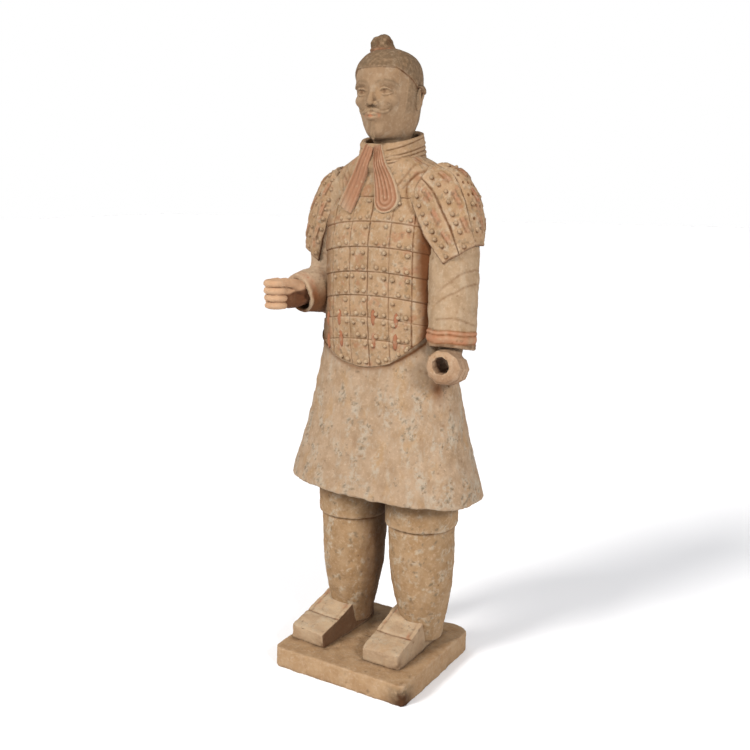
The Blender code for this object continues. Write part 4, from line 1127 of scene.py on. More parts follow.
def makeGuard(name, key, side, seed):
    lines = np.array(guards["shares"])
    across = spread(lines[1:-1], 1 / 5 / guards["lame"], 0.005, 0.0, 1.0)
    down = np.linspace(0, 1, guards["down"])
    rows = np.moveaxis(np.array(guards[key]), 1, 0)
    broad = np.stack([follow(np.column_stack([lines, row]), across) for row in rows])
    place = np.stack([follow(np.column_stack([guards["downs"], broad[:, k]]), down) for k in range(len(across))], 1)
    out = np.cross(np.gradient(place, across, axis=1), np.gradient(place, axis=0))
    out *= np.sign(np.einsum("ijk,ijk->ij", out, place - [side * 0.16, 0.1, 1.37]))[..., None]
    out /= np.linalg.norm(out, axis=-1, keepdims=True)
    k = np.clip(np.searchsorted(lines, across, side="right") - 1, 0, len(lines) - 2)
    part = (across - lines[k]) / (lines[k + 1] - lines[k])
    gap = np.abs(across[:, None] - lines[None, 1:-1]).min(1) * 0.45  # metres, near enough
    groove = bump(gap, guards["groove"])
    ends = np.minimum(down / 0.025, (1 - down) / 0.02)
    edge = np.minimum(ends[:, None], (np.minimum(across, 1 - across) / 0.012)[None])
    # each lame swells and laps over the next, between grooves
    swell = (guards["lap"] * (part - 0.5) + 1.2 * mm * np.sin(part * math.pi))[None] * soft(down, 0, 0.12)[:, None]
    swell = swell - guards["deep"] * groove[None] - 2.6 * mm * (1 - np.clip(edge, 0, 1)) ** 2
    outer = place + out * swell[..., None]
    grid = np.concatenate([outer, (place - out * guards["thick"])[:, ::-1]], 1)
    surface = shell(grid, strip=True)
    count = len(across)
    points, *_, lift, dirt, paint, lime, soot = opened(surface, "lift dirt paint lime soot")
    # painted shade: the inner face, the lower rim and the front edge darken; earth in the grooves
    rim = np.maximum(soft(down, 0.975, 1.0)[:, None], soft(across, 0.008, 0.0)[None] * soft(down, 0.0, 0.1)[:, None])
    for layer, values, within in (
        ("dirt", np.maximum(0.8 * groove[None], 0.9 * rim), 0.95),
        ("paint", 0.45 * bump(part - 0.72, 0.26)[None] * soft(ripple(place, 0.035, seed + 6, 2), 0.0, 0.8), 0.0),
    ):
        whole = np.full(grid.shape[:2], within)
        whole[:, :count] = values
        surface[layer][: whole.size] += whole.ravel()

    def spotAt(lame, share, here):
        i = np.searchsorted(down, here)
        j = np.searchsorted(across, lines[lame] + (lines[lame + 1] - lines[lame]) * share)
        i, j = min(max(i, 1), len(down) - 2), min(max(j, 1), count - 2)
        along = outer[i + 1, j] - outer[i - 1, j]
        facing = np.cross(outer[i, j + 1] - outer[i, j - 1], along)
        facing *= np.sign(facing @ out[i, j]) / np.linalg.norm(facing)
        return outer[i, j], facing, along / np.linalg.norm(along)

    # ends of red lacing, slanting down each lame
    rng = np.random.default_rng(seed + 5)
    wide, long, high = guards["lacing"]
    for lame in range(len(lines) - 1):
        for here in guards["lacingAt"][1]:
            share = guards["lacingAt"][0] + rng.uniform(-0.04, 0.04)
            spot, facing, along = spotAt(lame, share, here + rng.uniform(-0.02, 0.02))
            slant = unit(along + np.cross(facing, along) * rng.uniform(0.05, 0.25) * side)
            aside = np.cross(facing, slant)
            offset = points - spot
            length, width = np.abs(offset @ slant) * 2 / long, offset @ aside * 2 / wide
            near = soft(np.abs(offset @ facing), 18 * mm, 14 * mm) * soft(length, 1.1, 0.9)
            bar = near * soft(np.abs(width), 1.2, 0.75)
            lift += high * bar * (1 - 0.25 * bump(width, 0.25))
            paint[:] = np.maximum(paint, rng.uniform(0.55, 0.95) * (0.8 + 0.2 * side) * bar)
            dirt += 0.8 * near * bump(width * side + 1.1, 0.35) + 0.3 * near * bump(width * side - 1.15, 0.3)

    # holes for lost lacing on the upper lames
    holes = [
        spotAt(lame, share + rng.uniform(-0.04, 0.04), here + rng.uniform(-0.012, 0.012))[0]
        for lame in guards["upperLames"] for share in guards["holes"][0] for here in guards["holes"][1]
        if rng.random() < 0.85
    ]
    peck(surface, holes, 5.0 * mm, 3.2 * mm, 1.0)

    # a stud row down the front of each lame
    studs = []
    for lame in range(len(lines) - 1):
        for here in guards["studsAt"][1]:
            if lame in guards["upperLames"] and rng.random() < 0.7:
                continue
            share = guards["studsAt"][0] + rng.uniform(-0.05, 0.05)
            spot, facing, along = spotAt(lame, share, here + rng.uniform(-0.012, 0.012))
            studs.append((spot + facing * 0.2 * mm, facing, along))
    # a shallow dent with painted shadow just below each stud, darker on the left guard
    peck(surface, [spot + along * 4 * mm for spot, _, along in studs], 7.5 * mm, 0.8 * mm, 0.7 + 0.3 * side)
    roughen(surface, 0.8 * mm, 0.35 * mm, seed)
    lime += 0.6 * soft(ripple(points, 0.04, seed + 3, 2), 0.5, 1.1)
    soot += 0.5 * soft(ripple(points, 0.03, seed + 8, 2), 0.9, 1.4)
    dent(surface, 80, seed + 4, (2.5 * mm, 5.5 * mm), 1.3 * mm, 0.9)
    addPiece(name, surface, clays["vest"], "body")
    addStuds(name + "_studs", studs, clays["stud"], seed=seed, **guards["studs"])


makeGuard("shoulder_guard_left", "left", 1, 61)
makeGuard("shoulder_guard_right", "right", -1, 71)


# collar of wrapped cloth: row, height, radius and share of the tilt
collar = {
    "stations": [
        (0, 1.48, 0.086, 0.0), (1, 1.5, 0.098, 0.1), (2, 1.518, 0.099, 0.4), (3, 1.532, 0.098, 0.6),
        (4, 1.546, 0.095, 0.75), (5, 1.56, 0.093, 0.9), (6, 1.576, 0.091, 1.0), (7, 1.5825, 0.086, 1.0),
        (8, 1.582, 0.079, 1.0), (9, 1.577, 0.0745, 1.0), (10, 1.56, 0.074, 0.8), (11, 1.53, 0.074, 0.3),
        (12, 1.5, 0.074, 0.0),
    ],
    "centre": (0.003, 0.1), "tilt": 0.24, "sides": 150, "steps": 130,
    "crest": 7,
    "folds": (1.56, 1.537, 1.526, 1.514), "rise": 16 * mm,
}


def collarRing(angle, height, radius, tilt):
    x, y = radius * np.cos(angle), radius * np.sin(angle)
    return np.stack([collar["centre"][0] + x, collar["centre"][1] + y, height + collar["tilt"] * tilt * y], -1)


def makeCollar():
    last, steps = len(collar["stations"]) - 1, collar["steps"]
    rows = follow(collar["stations"], np.linspace(0, last, steps))
    angle = np.arange(collar["sides"]) * math.tau / collar["sides"]
    surface = shell(np.stack([collarRing(angle, *row) for row in rows]))
    flat = np.repeat(rows[:, :1], len(angle), 1)
    outside = (np.arange(steps) < steps * collar["crest"] / last)[:, None] * np.ones((1, len(angle)))
    inside = 1 - outside
    # degrees from the throat, either way
    turned = np.degrees((angle + math.pi / 2) % math.tau)
    turned = np.minimum(turned, 360 - turned)
    # the wraps climb from the throat round to the nape
    level = flat - (collar["rise"] * soft(turned, 0, 95))[None]
    outside *= soft(turned, 12, 26)[None]
    near = sum(bump(level - fold, 1.7 * mm) for fold in collar["folds"]) * outside
    rolls = sum(bump(level - fold - 5.5 * mm, 4.0 * mm) for fold in collar["folds"]) * outside
    surface["lift"][: near.size] += (1.8 * mm * rolls - 2.2 * mm * near).ravel()
    # painted shade down the inside of the collar at the neck gap; earth in the fold lines
    surface["dirt"][: near.size] += (0.6 * near + 0.8 * inside * soft(flat, 1.575, 1.55)).ravel()
    roughen(surface, 0.7 * mm, 0.25 * mm, 81)
    dent(surface, 25, 82, (2.5 * mm, 5 * mm), 1 * mm, 0.5)
    addPiece("collar_wrap", surface, clays["vest"], "body")


makeCollar()


# neck cloth: a flared end and a loop lying on the chest
scarf = {
    # share of the length, x, z and width
    "right": [(0.0, -0.018, 1.558, 0.038), (0.33, -0.044, 1.503, 0.048),
        (0.66, -0.073, 1.445, 0.053), (1.0, -0.102, 1.384, 0.066)],
    "left": [(0.0, 0.011, 1.558, 0.022), (0.28, 0.021, 1.5, 0.042),
        (0.6, 0.034, 1.447, 0.066), (1.0, 0.05, 1.374, 0.084)],
    "along": 80, "across": 44, "lift": 9 * mm, "bend": 0.78, "taut": 300, "sunk": 0.03,
}
collarRows = follow(collar["stations"], np.linspace(0, collar["crest"], 24))
collarSkin = np.stack([collarRing(vestAngles, *row) for row in collarRows])
chestTree = smoothSkin([vestSkin, collarSkin])


def onChest(x, z):
    return chestTree.ray_cast(Vector((x, -0.4, z)), Vector((0, 1, 0)))[0].y


def makeScarfEnd(name, key, looped, seed):
    spine = scarf[key]
    places = np.linspace(-1, 1, scarf["across"])
    shares = np.linspace(0, 1, scarf["along"])
    flat, bends = [], []
    for share in shares:
        x, z, width = follow(spine, share)
        ahead, behind = follow(spine, min(1, share + 0.03)), follow(spine, max(0, share - 0.03))
        along = unit((ahead - behind)[:2])
        across = np.array([-along[1], along[0]])
        bend = max(0.0, (share - scarf["bend"]) / (1 - scarf["bend"])) if looped else 0.0
        narrow = math.sqrt(max(1e-4, 1 - bend**2))
        flat.append([np.array([x, z]) + across * (place * narrow * width / 2) for place in places])
        bends.append([math.hypot(place * narrow, bend) for place in places])
    flat, radial = np.array(flat), np.array(bends)
    rest = np.array([[onChest(x, z) for x, z in row] for row in flat])
    # pulled taut over the collar's step
    rest[0] = np.minimum(rest[0], rest[1])
    for _ in range(scarf["taut"]):
        rest[1:-1] = np.minimum(rest[1:-1], (rest[:-2] + rest[2:]) / 2)
    place = np.repeat(places[None], len(shares), 0)
    if looped:
        ridge = 1.5 * mm * np.cos(radial * math.tau * 3.0)
    else:
        ridge = 1.1 * mm * np.cos((place + 0.1) * math.tau * 1.8)
        ridge += 2.2 * mm * bump(place + 0.8, 0.16) - 1.2 * mm * bump(place + 0.52, 0.09)
    depth = scarf["lift"] - 6.0 * mm * radial**5 + ridge
    outer = np.stack([flat[..., 0], rest - depth, flat[..., 1]], -1)
    inner = np.stack([flat[..., 0], rest + scarf["sunk"], flat[..., 1]], -1)
    surface = shell(np.concatenate([outer, inner[:, ::-1]], 1), strip=True)

    def bothSides(values):
        return np.concatenate([values, values[:, ::-1]], 1).ravel()

    size = 2 * radial.size
    if looped:
        red, grey = soft(radial, 0.98, 0.84), 0.2 * soft(radial, 0.82, 0.92)
    else:
        fading = soft(outer[..., 2] + 0.03 * place, 1.375, 1.44)
        red, grey = (0.25 + 0.75 * fading) * soft(place, -0.8, -0.62), 0.5 * (1 - fading)
    surface["paint"][:size] = bothSides(red)
    surface["lime"][:size] = bothSides(grey)
    surface["dirt"][:size] += bothSides(0.4 * soft(-ridge, 0.5 * mm, 1.6 * mm))
    roughen(surface, 0.4 * mm, 0.2 * mm, seed + 1)
    addPiece(name, surface, clays["scarf"], "body", 0.5)


makeScarfEnd("neck_cloth_flared", "right", False, 91)
makeScarfEnd("neck_cloth_loop", "left", True, 95)
print("armour dressed")


# trouser legs: height, radius and distance outwards
legs = {
    "stations": metres([
        (86, 58, 8), (92, 60, 8), (120, 64, 8), (155, 71, 7), (210, 83, 5),
        (265, 92, 3), (320, 96, 1), (372, 99, 0), (447, 100.5, 0), (480, 108.5, 0), (640, 109, 0),
    ]),
    "left": 0.125, "right": -0.117, "y": 0.079, "low": 0.088, "ankle": 0.165, "knee": 0.448, "top": 0.63,
    "around": 150, "step": 4.6 * mm, "power": 2.1, "cuffRadius": 0.1055, "cuffSwell": 3 * mm,
}


def makeLeg(name, knee, seed):
    levels = spread([legs["knee"]], legs["step"], 1.6 * mm, legs["low"], legs["top"])
    angle = np.arange(legs["around"]) * math.tau / legs["around"]
    grid = []
    for z in levels:
        radius, outward = follow(legs["stations"], z)
        if z > legs["knee"] - 0.1 * mm:
            swell = legs["cuffSwell"] * float(soft(z, legs["knee"], legs["knee"] + 6 * mm))
            radius = max(radius, legs["cuffRadius"] + swell)
        x, y = oval(angle, radius, radius, radius, legs["power"])
        grid.append(np.stack([knee + math.copysign(outward, knee) + x, legs["y"] + y, np.full(len(angle), z)], -1))
    surface = shell(np.stack(grid))
    points, px, py, pz, lift, dirt, lime, soot, stain = opened(surface, "lift dirt lime soot stain")
    ring = bump(pz - legs["knee"] + 1 * mm, 2.4 * mm)
    lift -= 1.6 * mm * ring
    dirt += 0.9 * ring
    # pulled-in trouser leg over the shoe
    ankle = bump(pz - legs["ankle"], 22 * mm)
    turn = np.arctan2(py - legs["y"], px - knee)
    lift += ankle * 1.6 * mm * np.sin(turn * 5 + 1.5 * np.sin(turn * 2 + seed))
    roughen(surface, 0.9 * mm, 0.3 * mm, seed)
    # painted shade on the inner side of each leg, more on the right leg
    inner = soft(-math.copysign(1, knee) * surface["normals"][:, 0], 0.55, 1.0)
    stain += (0.7 if knee < 0 else 0.4) * inner
    # painted shadow of the skirt on the top of each leg
    dirt += 0.6 * soft(pz, 0.48, 0.545)
    lime += 0.8 * soft(ripple(points, 0.05, seed + 2, 3), 0.5, 1.1)
    soot += 0.8 * soft(ripple(points, 0.028, seed + 5, 3), 1.35, 1.8)
    dent(surface, 90, seed + 3, (2.5 * mm, 6 * mm), 1.3 * mm, 0.9)
    addPiece(name, surface, clays["leg"], "body")


makeLeg("trouser_leg_left", legs["left"], 101)
makeLeg("trouser_leg_right", legs["right"], 111)

shoes = {
    "stations": metres([
        (-126, 59, 42.5), (-121, 61.2, 45.5), (-85, 62, 55), (-50, 62, 63), (-10, 62, 76),
        (30, 61, 90), (70, 60, 100), (110, 58, 100), (145, 52, 85), (162, 40, 70),
    ]),
    "round": 4.5 * mm, "vamp": -0.05, "toe": -0.126, "heel": 0.162, "panel": 0.047, "step": 3.6 * mm,
    # square ends with a small rounded edge: share of the outline and distance out
    "ends": [(0.975, 1.6 * mm), (0.93, 2.4 * mm), (0.8, 2.6 * mm), (0.6, 2.6 * mm), (0.4, 2.6 * mm)],
}


def makeShoe(name, centre, turn, seed):
    rows = []
    floor = plinth["thick"] + 0.5 * mm
    for y in spread([shoes["vamp"]], shoes["step"], 1.5 * mm, shoes["toe"], shoes["heel"]):
        half, height = follow(shoes["stations"], y)
        r = min(shoes["round"], half * 0.5)
        arc = [(half - r + r * math.cos(a), height - r + r * math.sin(a)) for a in np.radians(np.linspace(0, 90, 6))]
        side = [(half + 3 * mm * (1 - z / height), z) for z in np.linspace(0, height - r, 13)[:-1]] + arc
        top = [(x, height + 1.5 * mm * (1 - (x / half) ** 2)) for x in np.linspace(half - r, -half + r, 26)[1:-1]]
        bottom = [(x, 0.0) for x in np.linspace(-half, half, 12)[1:-1]]
        outline = side + top + [(-x, z) for x, z in reversed(side)] + bottom
        rows.append([(x, y, floor + z) for x, z in outline])
    toe, heel = np.array(rows[0]), np.array(rows[-1])

    def drawn(ring, share, out):
        middle = np.array([0, ring[0, 1], (ring[:, 2].min() + ring[:, 2].max()) / 2])
        return middle + (ring - middle) * share + [0, out, 0]

    rows = [drawn(toe, share, -out) for share, out in reversed(shoes["ends"])] + rows
    rows += [drawn(heel, share, out) for share, out in shoes["ends"]]
    surface = shell(np.array(rows))
    points, px, py, pz, lift, dirt, paint, lime, stain = opened(surface, "lift dirt paint lime stain")
    top = soft(surface["normals"][:, 2], 0.2, 0.7)
    # vamp seam, raised instep panel and the sole's line
    seam = bump(py - shoes["vamp"] + 0.004 * np.cos(px * 30), 2.6 * mm)
    lift += 1.6 * mm * soft(py, shoes["vamp"], shoes["vamp"] + 4 * mm) * top
    lift -= 1.8 * mm * seam * top
    dirt += 0.7 * seam * top
    panel = np.abs(np.abs(px) - shoes["panel"])
    behind = soft(py, shoes["vamp"] - 2 * mm, shoes["vamp"] + 4 * mm)
    lift -= 1.3 * mm * bump(panel, 2.4 * mm) * top * behind
    dirt += 0.45 * bump(panel, 2.4 * mm) * top * behind
    paint += 0.8 * (bump(panel - 0.004, 3 * mm) * behind + seam) * top * soft(ripple(points, 0.05, seed + 6), 0.0, 0.6)
    dirt += 0.6 * bump(pz - floor, 5 * mm) * (1 - top)
    # painted shade on sides facing +X, strongest on the right shoe's inner side, and slight painted shade on the front
    # faces
    stain += (0.95 if centre < 0 else 0.2) * soft(surface["normals"][:, 0], 0.5, 0.9)
    dirt += 0.12 * soft(-surface["normals"][:, 1], 0.5, 0.9)
    roughen(surface, 1.0 * mm, 0.3 * mm, seed)
    lime += 0.5 * top * soft(ripple(points, 0.06, seed + 2, 2), -0.1, 0.8)
    toe = np.linalg.norm(points - np.array([0.056, -0.124, floor + 0.01]), axis=1)
    dirt += 0.7 * bump(toe, 18 * mm) * np.clip(ripple(points, 0.02, seed + 4) + 0.6, 0, 1)
    dent(surface, 45, seed + 3, (2.5 * mm, 6 * mm), 1.3 * mm, 0.8)
    carry(surface, Matrix.Translation((centre, 0, 0)) @ Matrix.Rotation(math.radians(turn), 4, "Z"))
    addPiece(name, surface, clays["shoe"], "body")


makeShoe("shoe_left_relief", 0.104, 0.0, 121)
makeShoe("shoe_right_relief", -0.15, -4.0, 131)
print("legs ready")


# left hand, in its own axes, closed round an empty grip
leftHand = {
    "box": metres(((-68, -12, -75), (72, 150, 110))), "step": 1.8 * mm,
    "place": (0.251, -0.056, 0.957), "turn": 5.0,
    "depths": (0.0, 0.006, 0.045, 0.08, 0.094), "radii": (0.042, 0.048, 0.05, 0.047, 0.037),
    "sides": 10, "outer": 1.19, "inner": 0.94, "tilt": 0.2, "raised": 0.004,
    "fistBox": metres(((-60, 0, -75), (66, 96, 62))),
    "grip": {"radius": 0.0255, "sides": 9, "height": 0.008, "box": metres(((-34, -20, -34), (34, 140, 34)))},
    # the wrist runs from a point back along the sleeve, dropped, to the middle of the fist
    "back": 0.0575, "drop": (0, 0, -0.034), "middle": (0, 0.05, 0.012), "wrist": [0.034, 0.034, 0.037],
    "fingers": (0.024, 0.047, 0.07),
}


def facets(across, upward, sides):
    # distance out from an axis to flat faces round it, and half of one face's angle
    half = math.pi / sides
    angle = np.arctan2(upward, across) / (2 * half)
    return np.sqrt(across**2 + upward**2) * np.cos((angle % 1 - 0.5) * 2 * half), half


def makeLeftHand():
    block = startBlock(*leftHand["box"], leftHand["step"])

    # blunt fist cut in flat faces
    def fist(x, y, z):
        radius = np.interp(y, leftHand["depths"], leftHand["radii"])
        broad = np.where(x > 0, x / leftHand["outer"], x / leftHand["inner"])
        flat, half = facets(broad, z - leftHand["raised"] + leftHand["tilt"] * y, leftHand["sides"])
        return np.maximum(flat - radius * math.cos(half), np.maximum(-y, y - leftHand["depths"][-1]))

    mould(block, (fist, *np.array(leftHand["fistBox"])))
    place = Matrix.Translation(leftHand["place"]) @ Matrix.Rotation(math.radians(leftHand["turn"]), 4, "Z")
    local = place.inverted()
    cuff, before = Vector(leftSleeve["path"][-1][:3]), Vector(leftSleeve["path"][-2][:3])
    along = (cuff - before).normalized()
    root = local @ (cuff - along * leftHand["back"]) + Vector(leftHand["drop"])
    wrist = [root, local @ (cuff + along * 10 * mm), Vector(leftHand["middle"])]
    mould(block, rope(wrist, leftHand["wrist"]), 10 * mm)
    grip = leftHand["grip"]

    # hole pushed through with a whittled stick
    def hole(x, y, z):
        flat, half = facets(x, z - grip["height"], grip["sides"])
        return flat - grip["radius"] * math.cos(half)

    mould(block, (hole, *np.array(grip["box"])), 2.5 * mm, True)
    surface = cast(block)
    _, px, py, pz, lift, dirt = opened(surface, "lift dirt")
    away = np.hypot(px, pz - grip["height"])
    outside, inside = soft(away, 0.034, 0.04), soft(away, 0.029, 0.025)
    for depth in leftHand["fingers"]:
        near = bump(py - depth - 0.002 * np.sin(pz * 60), 2.2 * mm) * outside * soft(pz, 0.025, 0.0)
        lift -= 1.8 * mm * near
        dirt += 0.5 * near
    lift -= 1.2 * mm * bump(py, 4 * mm) * outside
    # painted shade inside the grip hole
    dirt += 0.5 * inside * soft(py, 0.004, 0.03)
    roughen(surface, 0.9 * mm, 0.25 * mm, 141)
    # painted shade on the underside of the fist
    dirt += 0.45 * soft(pz + 0.4 * py, -0.005, -0.04)
    dent(surface, 25, 142, (2.5 * mm, 5 * mm), 0.8 * mm, 0.5)
    carry(surface, place)
    addPiece("left_hand_relief", surface, clays["fist"], "left_hand")


makeLeftHand()


# right hand, in its own axes: along the arm, inwards and up
rightHand = {
    "box": metres(((-70, -52, -62), (150, 56, 68))), "step": 1.55 * mm, "offset": (-0.003, 0, 0.0075),
    "reach": 0.099, "tall": 0.086,
    "knuckles": metres([(-28, -24), (0, -27.5), (21, -17), (24, 3), (13, 21)]),
    "tips": (0.003, 0.01, 0.014, 0.014), "thick": (1, 1, 1, 1, 1, 0.96, 0.8),
    "palm": metres(([(-25, 0, -4), (4, 0, -6), (54, -6, -2)], [39, 39, 32])),
    "heel": metres(((26, -6, -22), (62, 28, 30))),
    "pads": metres((([(52, -20, -12), (95, -26, -20)], [26, 20]),
        ([(52, -16, 14), (92, -24, 20)], [26, 20]))),
    "core": metres(([(103, 0, -17), (103, 0, 17)], [22.5, 22.5])),
    "hollow": metres(((40, 44, -16), (40, 28, 26))),
    "thumb": metres(([(-10, 16, 6), (16, 20, 10), (44, 25, 23), (64, 25, 29),
        (82, 23, 31)], [20, 20.5, 16.5, 13.5, 11.5])),
    "grip": metres(([(99, 0, -90), (99, 0, 90)], [16.5, 16.5])),
    "nail": metres(((84, 34.5, 32), (8, 4, 6))),
}


def makeRightHand():
    cuff, before = Vector(rightSleeve["fore"][-1][:3]), Vector(rightSleeve["fore"][-2][:3])
    along = (cuff - before).normalized()
    inward = Vector((0, 0, 1)).cross(along).normalized()
    place = Matrix((along, inward, along.cross(inward))).transposed().to_4x4()
    place.translation = cuff + along * 4 * mm + Vector(rightHand["offset"])
    reach, tall = rightHand["reach"], rightHand["tall"]
    block = startBlock(*rightHand["box"], rightHand["step"])
    fingers = []
    mould(block, rope(*rightHand["palm"]))
    mould(block, blob(*rightHand["heel"]), 8 * mm)
    for pad in rightHand["pads"]:
        mould(block, rope(*pad), 14 * mm)
    # four curled fingers, each round the grip from the knuckle to its tip
    for k in range(4):
        z = tall * (k + 0.5) / 4 - tall / 2
        curl = [(reach + x, y, z) for x, y in rightHand["knuckles"]]
        curl += [(reach - 0.003, 0.0255, z - 1 * mm), (reach - rightHand["tips"][k], 0.019, z - 1 * mm)]
        size = 0.0108 - 0.0004 * abs(k - 2)
        fingers.append(smoothPath(curl))
        mould(block, rope(curl, [size * share for share in rightHand["thick"]], 22), 1.6 * mm)
    mould(block, rope(*rightHand["core"]), 2 * mm)
    # hollow of the palm, and the thumb laid beside the top finger
    mould(block, blob(*rightHand["hollow"]), 5 * mm, True)
    mould(block, rope(*rightHand["thumb"], 16), 4 * mm)
    mould(block, rope(*rightHand["grip"]), 1.5 * mm, True)
    surface = cast(block)
    points, px, py, pz, lift, dirt, paint, stain = opened(surface, "lift dirt paint stain")
    spot, size = rightHand["nail"]
    nail = np.linalg.norm((points - spot) / size, axis=1)
    lift += 0.8 * mm * soft(nail, 1.1, 0.8)
    # painted shade inside the grip hole
    inside = soft(np.hypot(px - reach, py), 0.019, 0.016)
    dirt += 0.6 * inside
    paint += 0.5 * soft(px, 0.045, 0.0)
    # painted shade over the palm between fingertips and wrist, and on the wrist inside the cuff
    bare = soft(np.min([nearPath(points, finger) for finger in fingers], axis=0), 0.0128, 0.011)
    palm = soft(px, 0.104, 0.09) * soft(pz + 0.22 * px, 0.018, 0.008) * (1 - bare)
    stain += np.maximum(palm, soft(px, 0.01, -0.012))
    roughen(surface, 0.6 * mm, 0.2 * mm, 151)
    dent(surface, 18, 152, (2.5 * mm, 4.5 * mm), 0.7 * mm, 0.5)
    carry(surface, place)
    addPiece("right_hand_relief", surface, clays["hand"], "right_hand")


makeRightHand()
print("hands ready")


# head with topknot: height, half width, front, back and middle
head = {
    "stations": metres([
        (1500, 58, 56, 56, 12), (1540, 55, 54, 58, 12), (1572, 56, 56, 64, 10),
        (1580, 59, 84, 66, 4), (1587, 63, 96, 70, 1), (1600, 68, 102, 80, 0),
        (1632, 77, 106, 100, 0), (1680, 83, 107, 112, 0), (1735, 86, 107, 114, 0),
        (1770, 82, 98, 109, 0), (1796, 69, 79, 93, 0), (1812, 49, 59, 67, 2),
        (1820, 26, 32, 38, 4), (1824.5, 3, 3, 3, 6),
    ]),
    "power": 2.15, "hairLift": 4.5 * mm, "hairline": 1.766, "hairFall": 0.95 * mm, "step": 1.8 * mm,
    "axis": (0.0, 0.087, 0.0), "turn": 5.0, "knot": (-0.016, -0.006), "top": 1.8245, "base": 1.5004,
    "box": metres(((-118, -150, 1496), (118, 135, 1880))),
    # flat cuts that pare cheeks and jaw back to a chin: place, direction and blend
    "cutBox": metres(((-120, -150, 1500), (120, 130, 1700))),
    "cuts": (((0.064, -0.066, 1.64), (-0.8, 0.52, 0.3), 30 * mm),
        ((0.05, -0.06, 1.586), (-0.6, 0.3, 0.74), 22 * mm)),
    # paths with their thickness, mirrored where they come in pairs
    "brow": metres(([(9, -100.5, 1721.5), (30, -101, 1727.5), (51, -90.5, 1723.5), (64, -78, 1714)],
        [6, 6.2, 5.5, 3.5])),
    "upperLid": metres(([(16.5, -96.5, 1698.5), (25, -102, 1706.5), (35.5, -103, 1709.8),
        (46, -98.5, 1707), (55, -89, 1700)], [1.8, 3.1, 3.4, 3.1, 1.6])),
    "lowerLid": metres(([(17.5, -96, 1697.5), (26.5, -100.5, 1693.8), (35.5, -101, 1692.2),
        (45.5, -97, 1693.8), (54.5, -89, 1698.8)], [1.5, 2.3, 2.5, 2.3, 1.4])),
    "nose": metres(([(0, -100, 1726), (0, -106, 1706), (0, -115, 1685), (0, -120, 1673.5)],
        [7.2, 7, 8.2, 9])),
    "upperLip": metres(([(-24, -101, 1639.2), (-8, -111.5, 1642.4), (0, -111.8, 1641),
        (8, -111.5, 1642.4), (24, -101, 1639.2)], [1.8, 4.6, 4.3, 4.6, 1.8])),
    "lowerLip": metres(([(-20, -101.5, 1634.2), (0, -110.5, 1631.2), (20, -101.5, 1634.2)], [2.2, 6.2, 2.2])),
    "mouth": metres(([(-26, -103.5, 1637.6), (-12, -115, 1637.4), (0, -116.8, 1636.6),
        (12, -115, 1637.4), (26, -103.5, 1637.6)], [1.2, 1.7, 1.7, 1.7, 1.2])),
    "moustache": metres(([(1.5, -109, 1654.5), (14, -109.5, 1650.5), (28, -101, 1646),
        (40, -91.5, 1649), (47, -85, 1657)], [5, 5.6, 4.8, 3.6, 1.8])),
    "tuft": metres(([(0, -102, 1622.5), (0, -104, 1608), (0, -103, 1590), (0, -100, 1576)],
        [5.5, 8, 8, 3.5])),
    "ear": metres(([(89.5, -4, 1694), (93.5, 0, 1709), (95.5, 11, 1716), (95.5, 23, 1710),
        (93.5, 27, 1696), (90.5, 23, 1680), (88.5, 14, 1665), (87.5, 5, 1660)],
        [2.8, 3.5, 3.8, 3.8, 3.6, 3.4, 4.8, 4.6])),
    "topknot": metres(([(-12, -4, 1802), (-14, -5, 1816), (-18, -6, 1832), (-16, -6, 1844)],
        [38, 33.5, 27.5, 19])),
    "lobes": (((-0.031, -0.013, 1.837), (0.0195, 0.02, 0.0205), (0, 10, 20)),
        ((-0.008, -0.012, 1.842), (0.02, 0.02, 0.0205), (0, -8, -30)),
        ((-0.019, 0.012, 1.84), (0.024, 0.017, 0.02), (10, 0, 0))),
    "parting": metres(([(-21, -34, 1864), (-21.5, -37, 1842), (-18, -40, 1824)], [3.5, 2.5, 1.5])),
    "band": {"centre": (-0.013, -0.005, 1.8185), "radius": 0.034, "tilt": 0.06, "thick": 0.0064},
    # lines drawn on the face
    "drawnBrow": metres([(11, -106, 1723), (30, -106.5, 1730), (51, -95.5, 1726.5), (65, -80, 1715)]),
    "lashes": metres([(16.5, -97.5, 1698.5), (25, -104, 1705.5), (35.5, -105.5, 1708.5),
        (46, -100.5, 1706), (55, -90, 1699)]),
    "redLips": metres([(-18, -105, 1638), (0, -113, 1637.5), (18, -105, 1638)]),
}


def sided(row, side):
    path, radii = row
    return [(side * x, y, z) for x, y, z in path], radii


def hairEdge(x, y):
    # height of the hair's edge at each side of the head
    turn = np.degrees(np.arctan2(np.abs(x), -y))
    return head["hairline"] - np.maximum(0, turn - 38) * head["hairFall"]


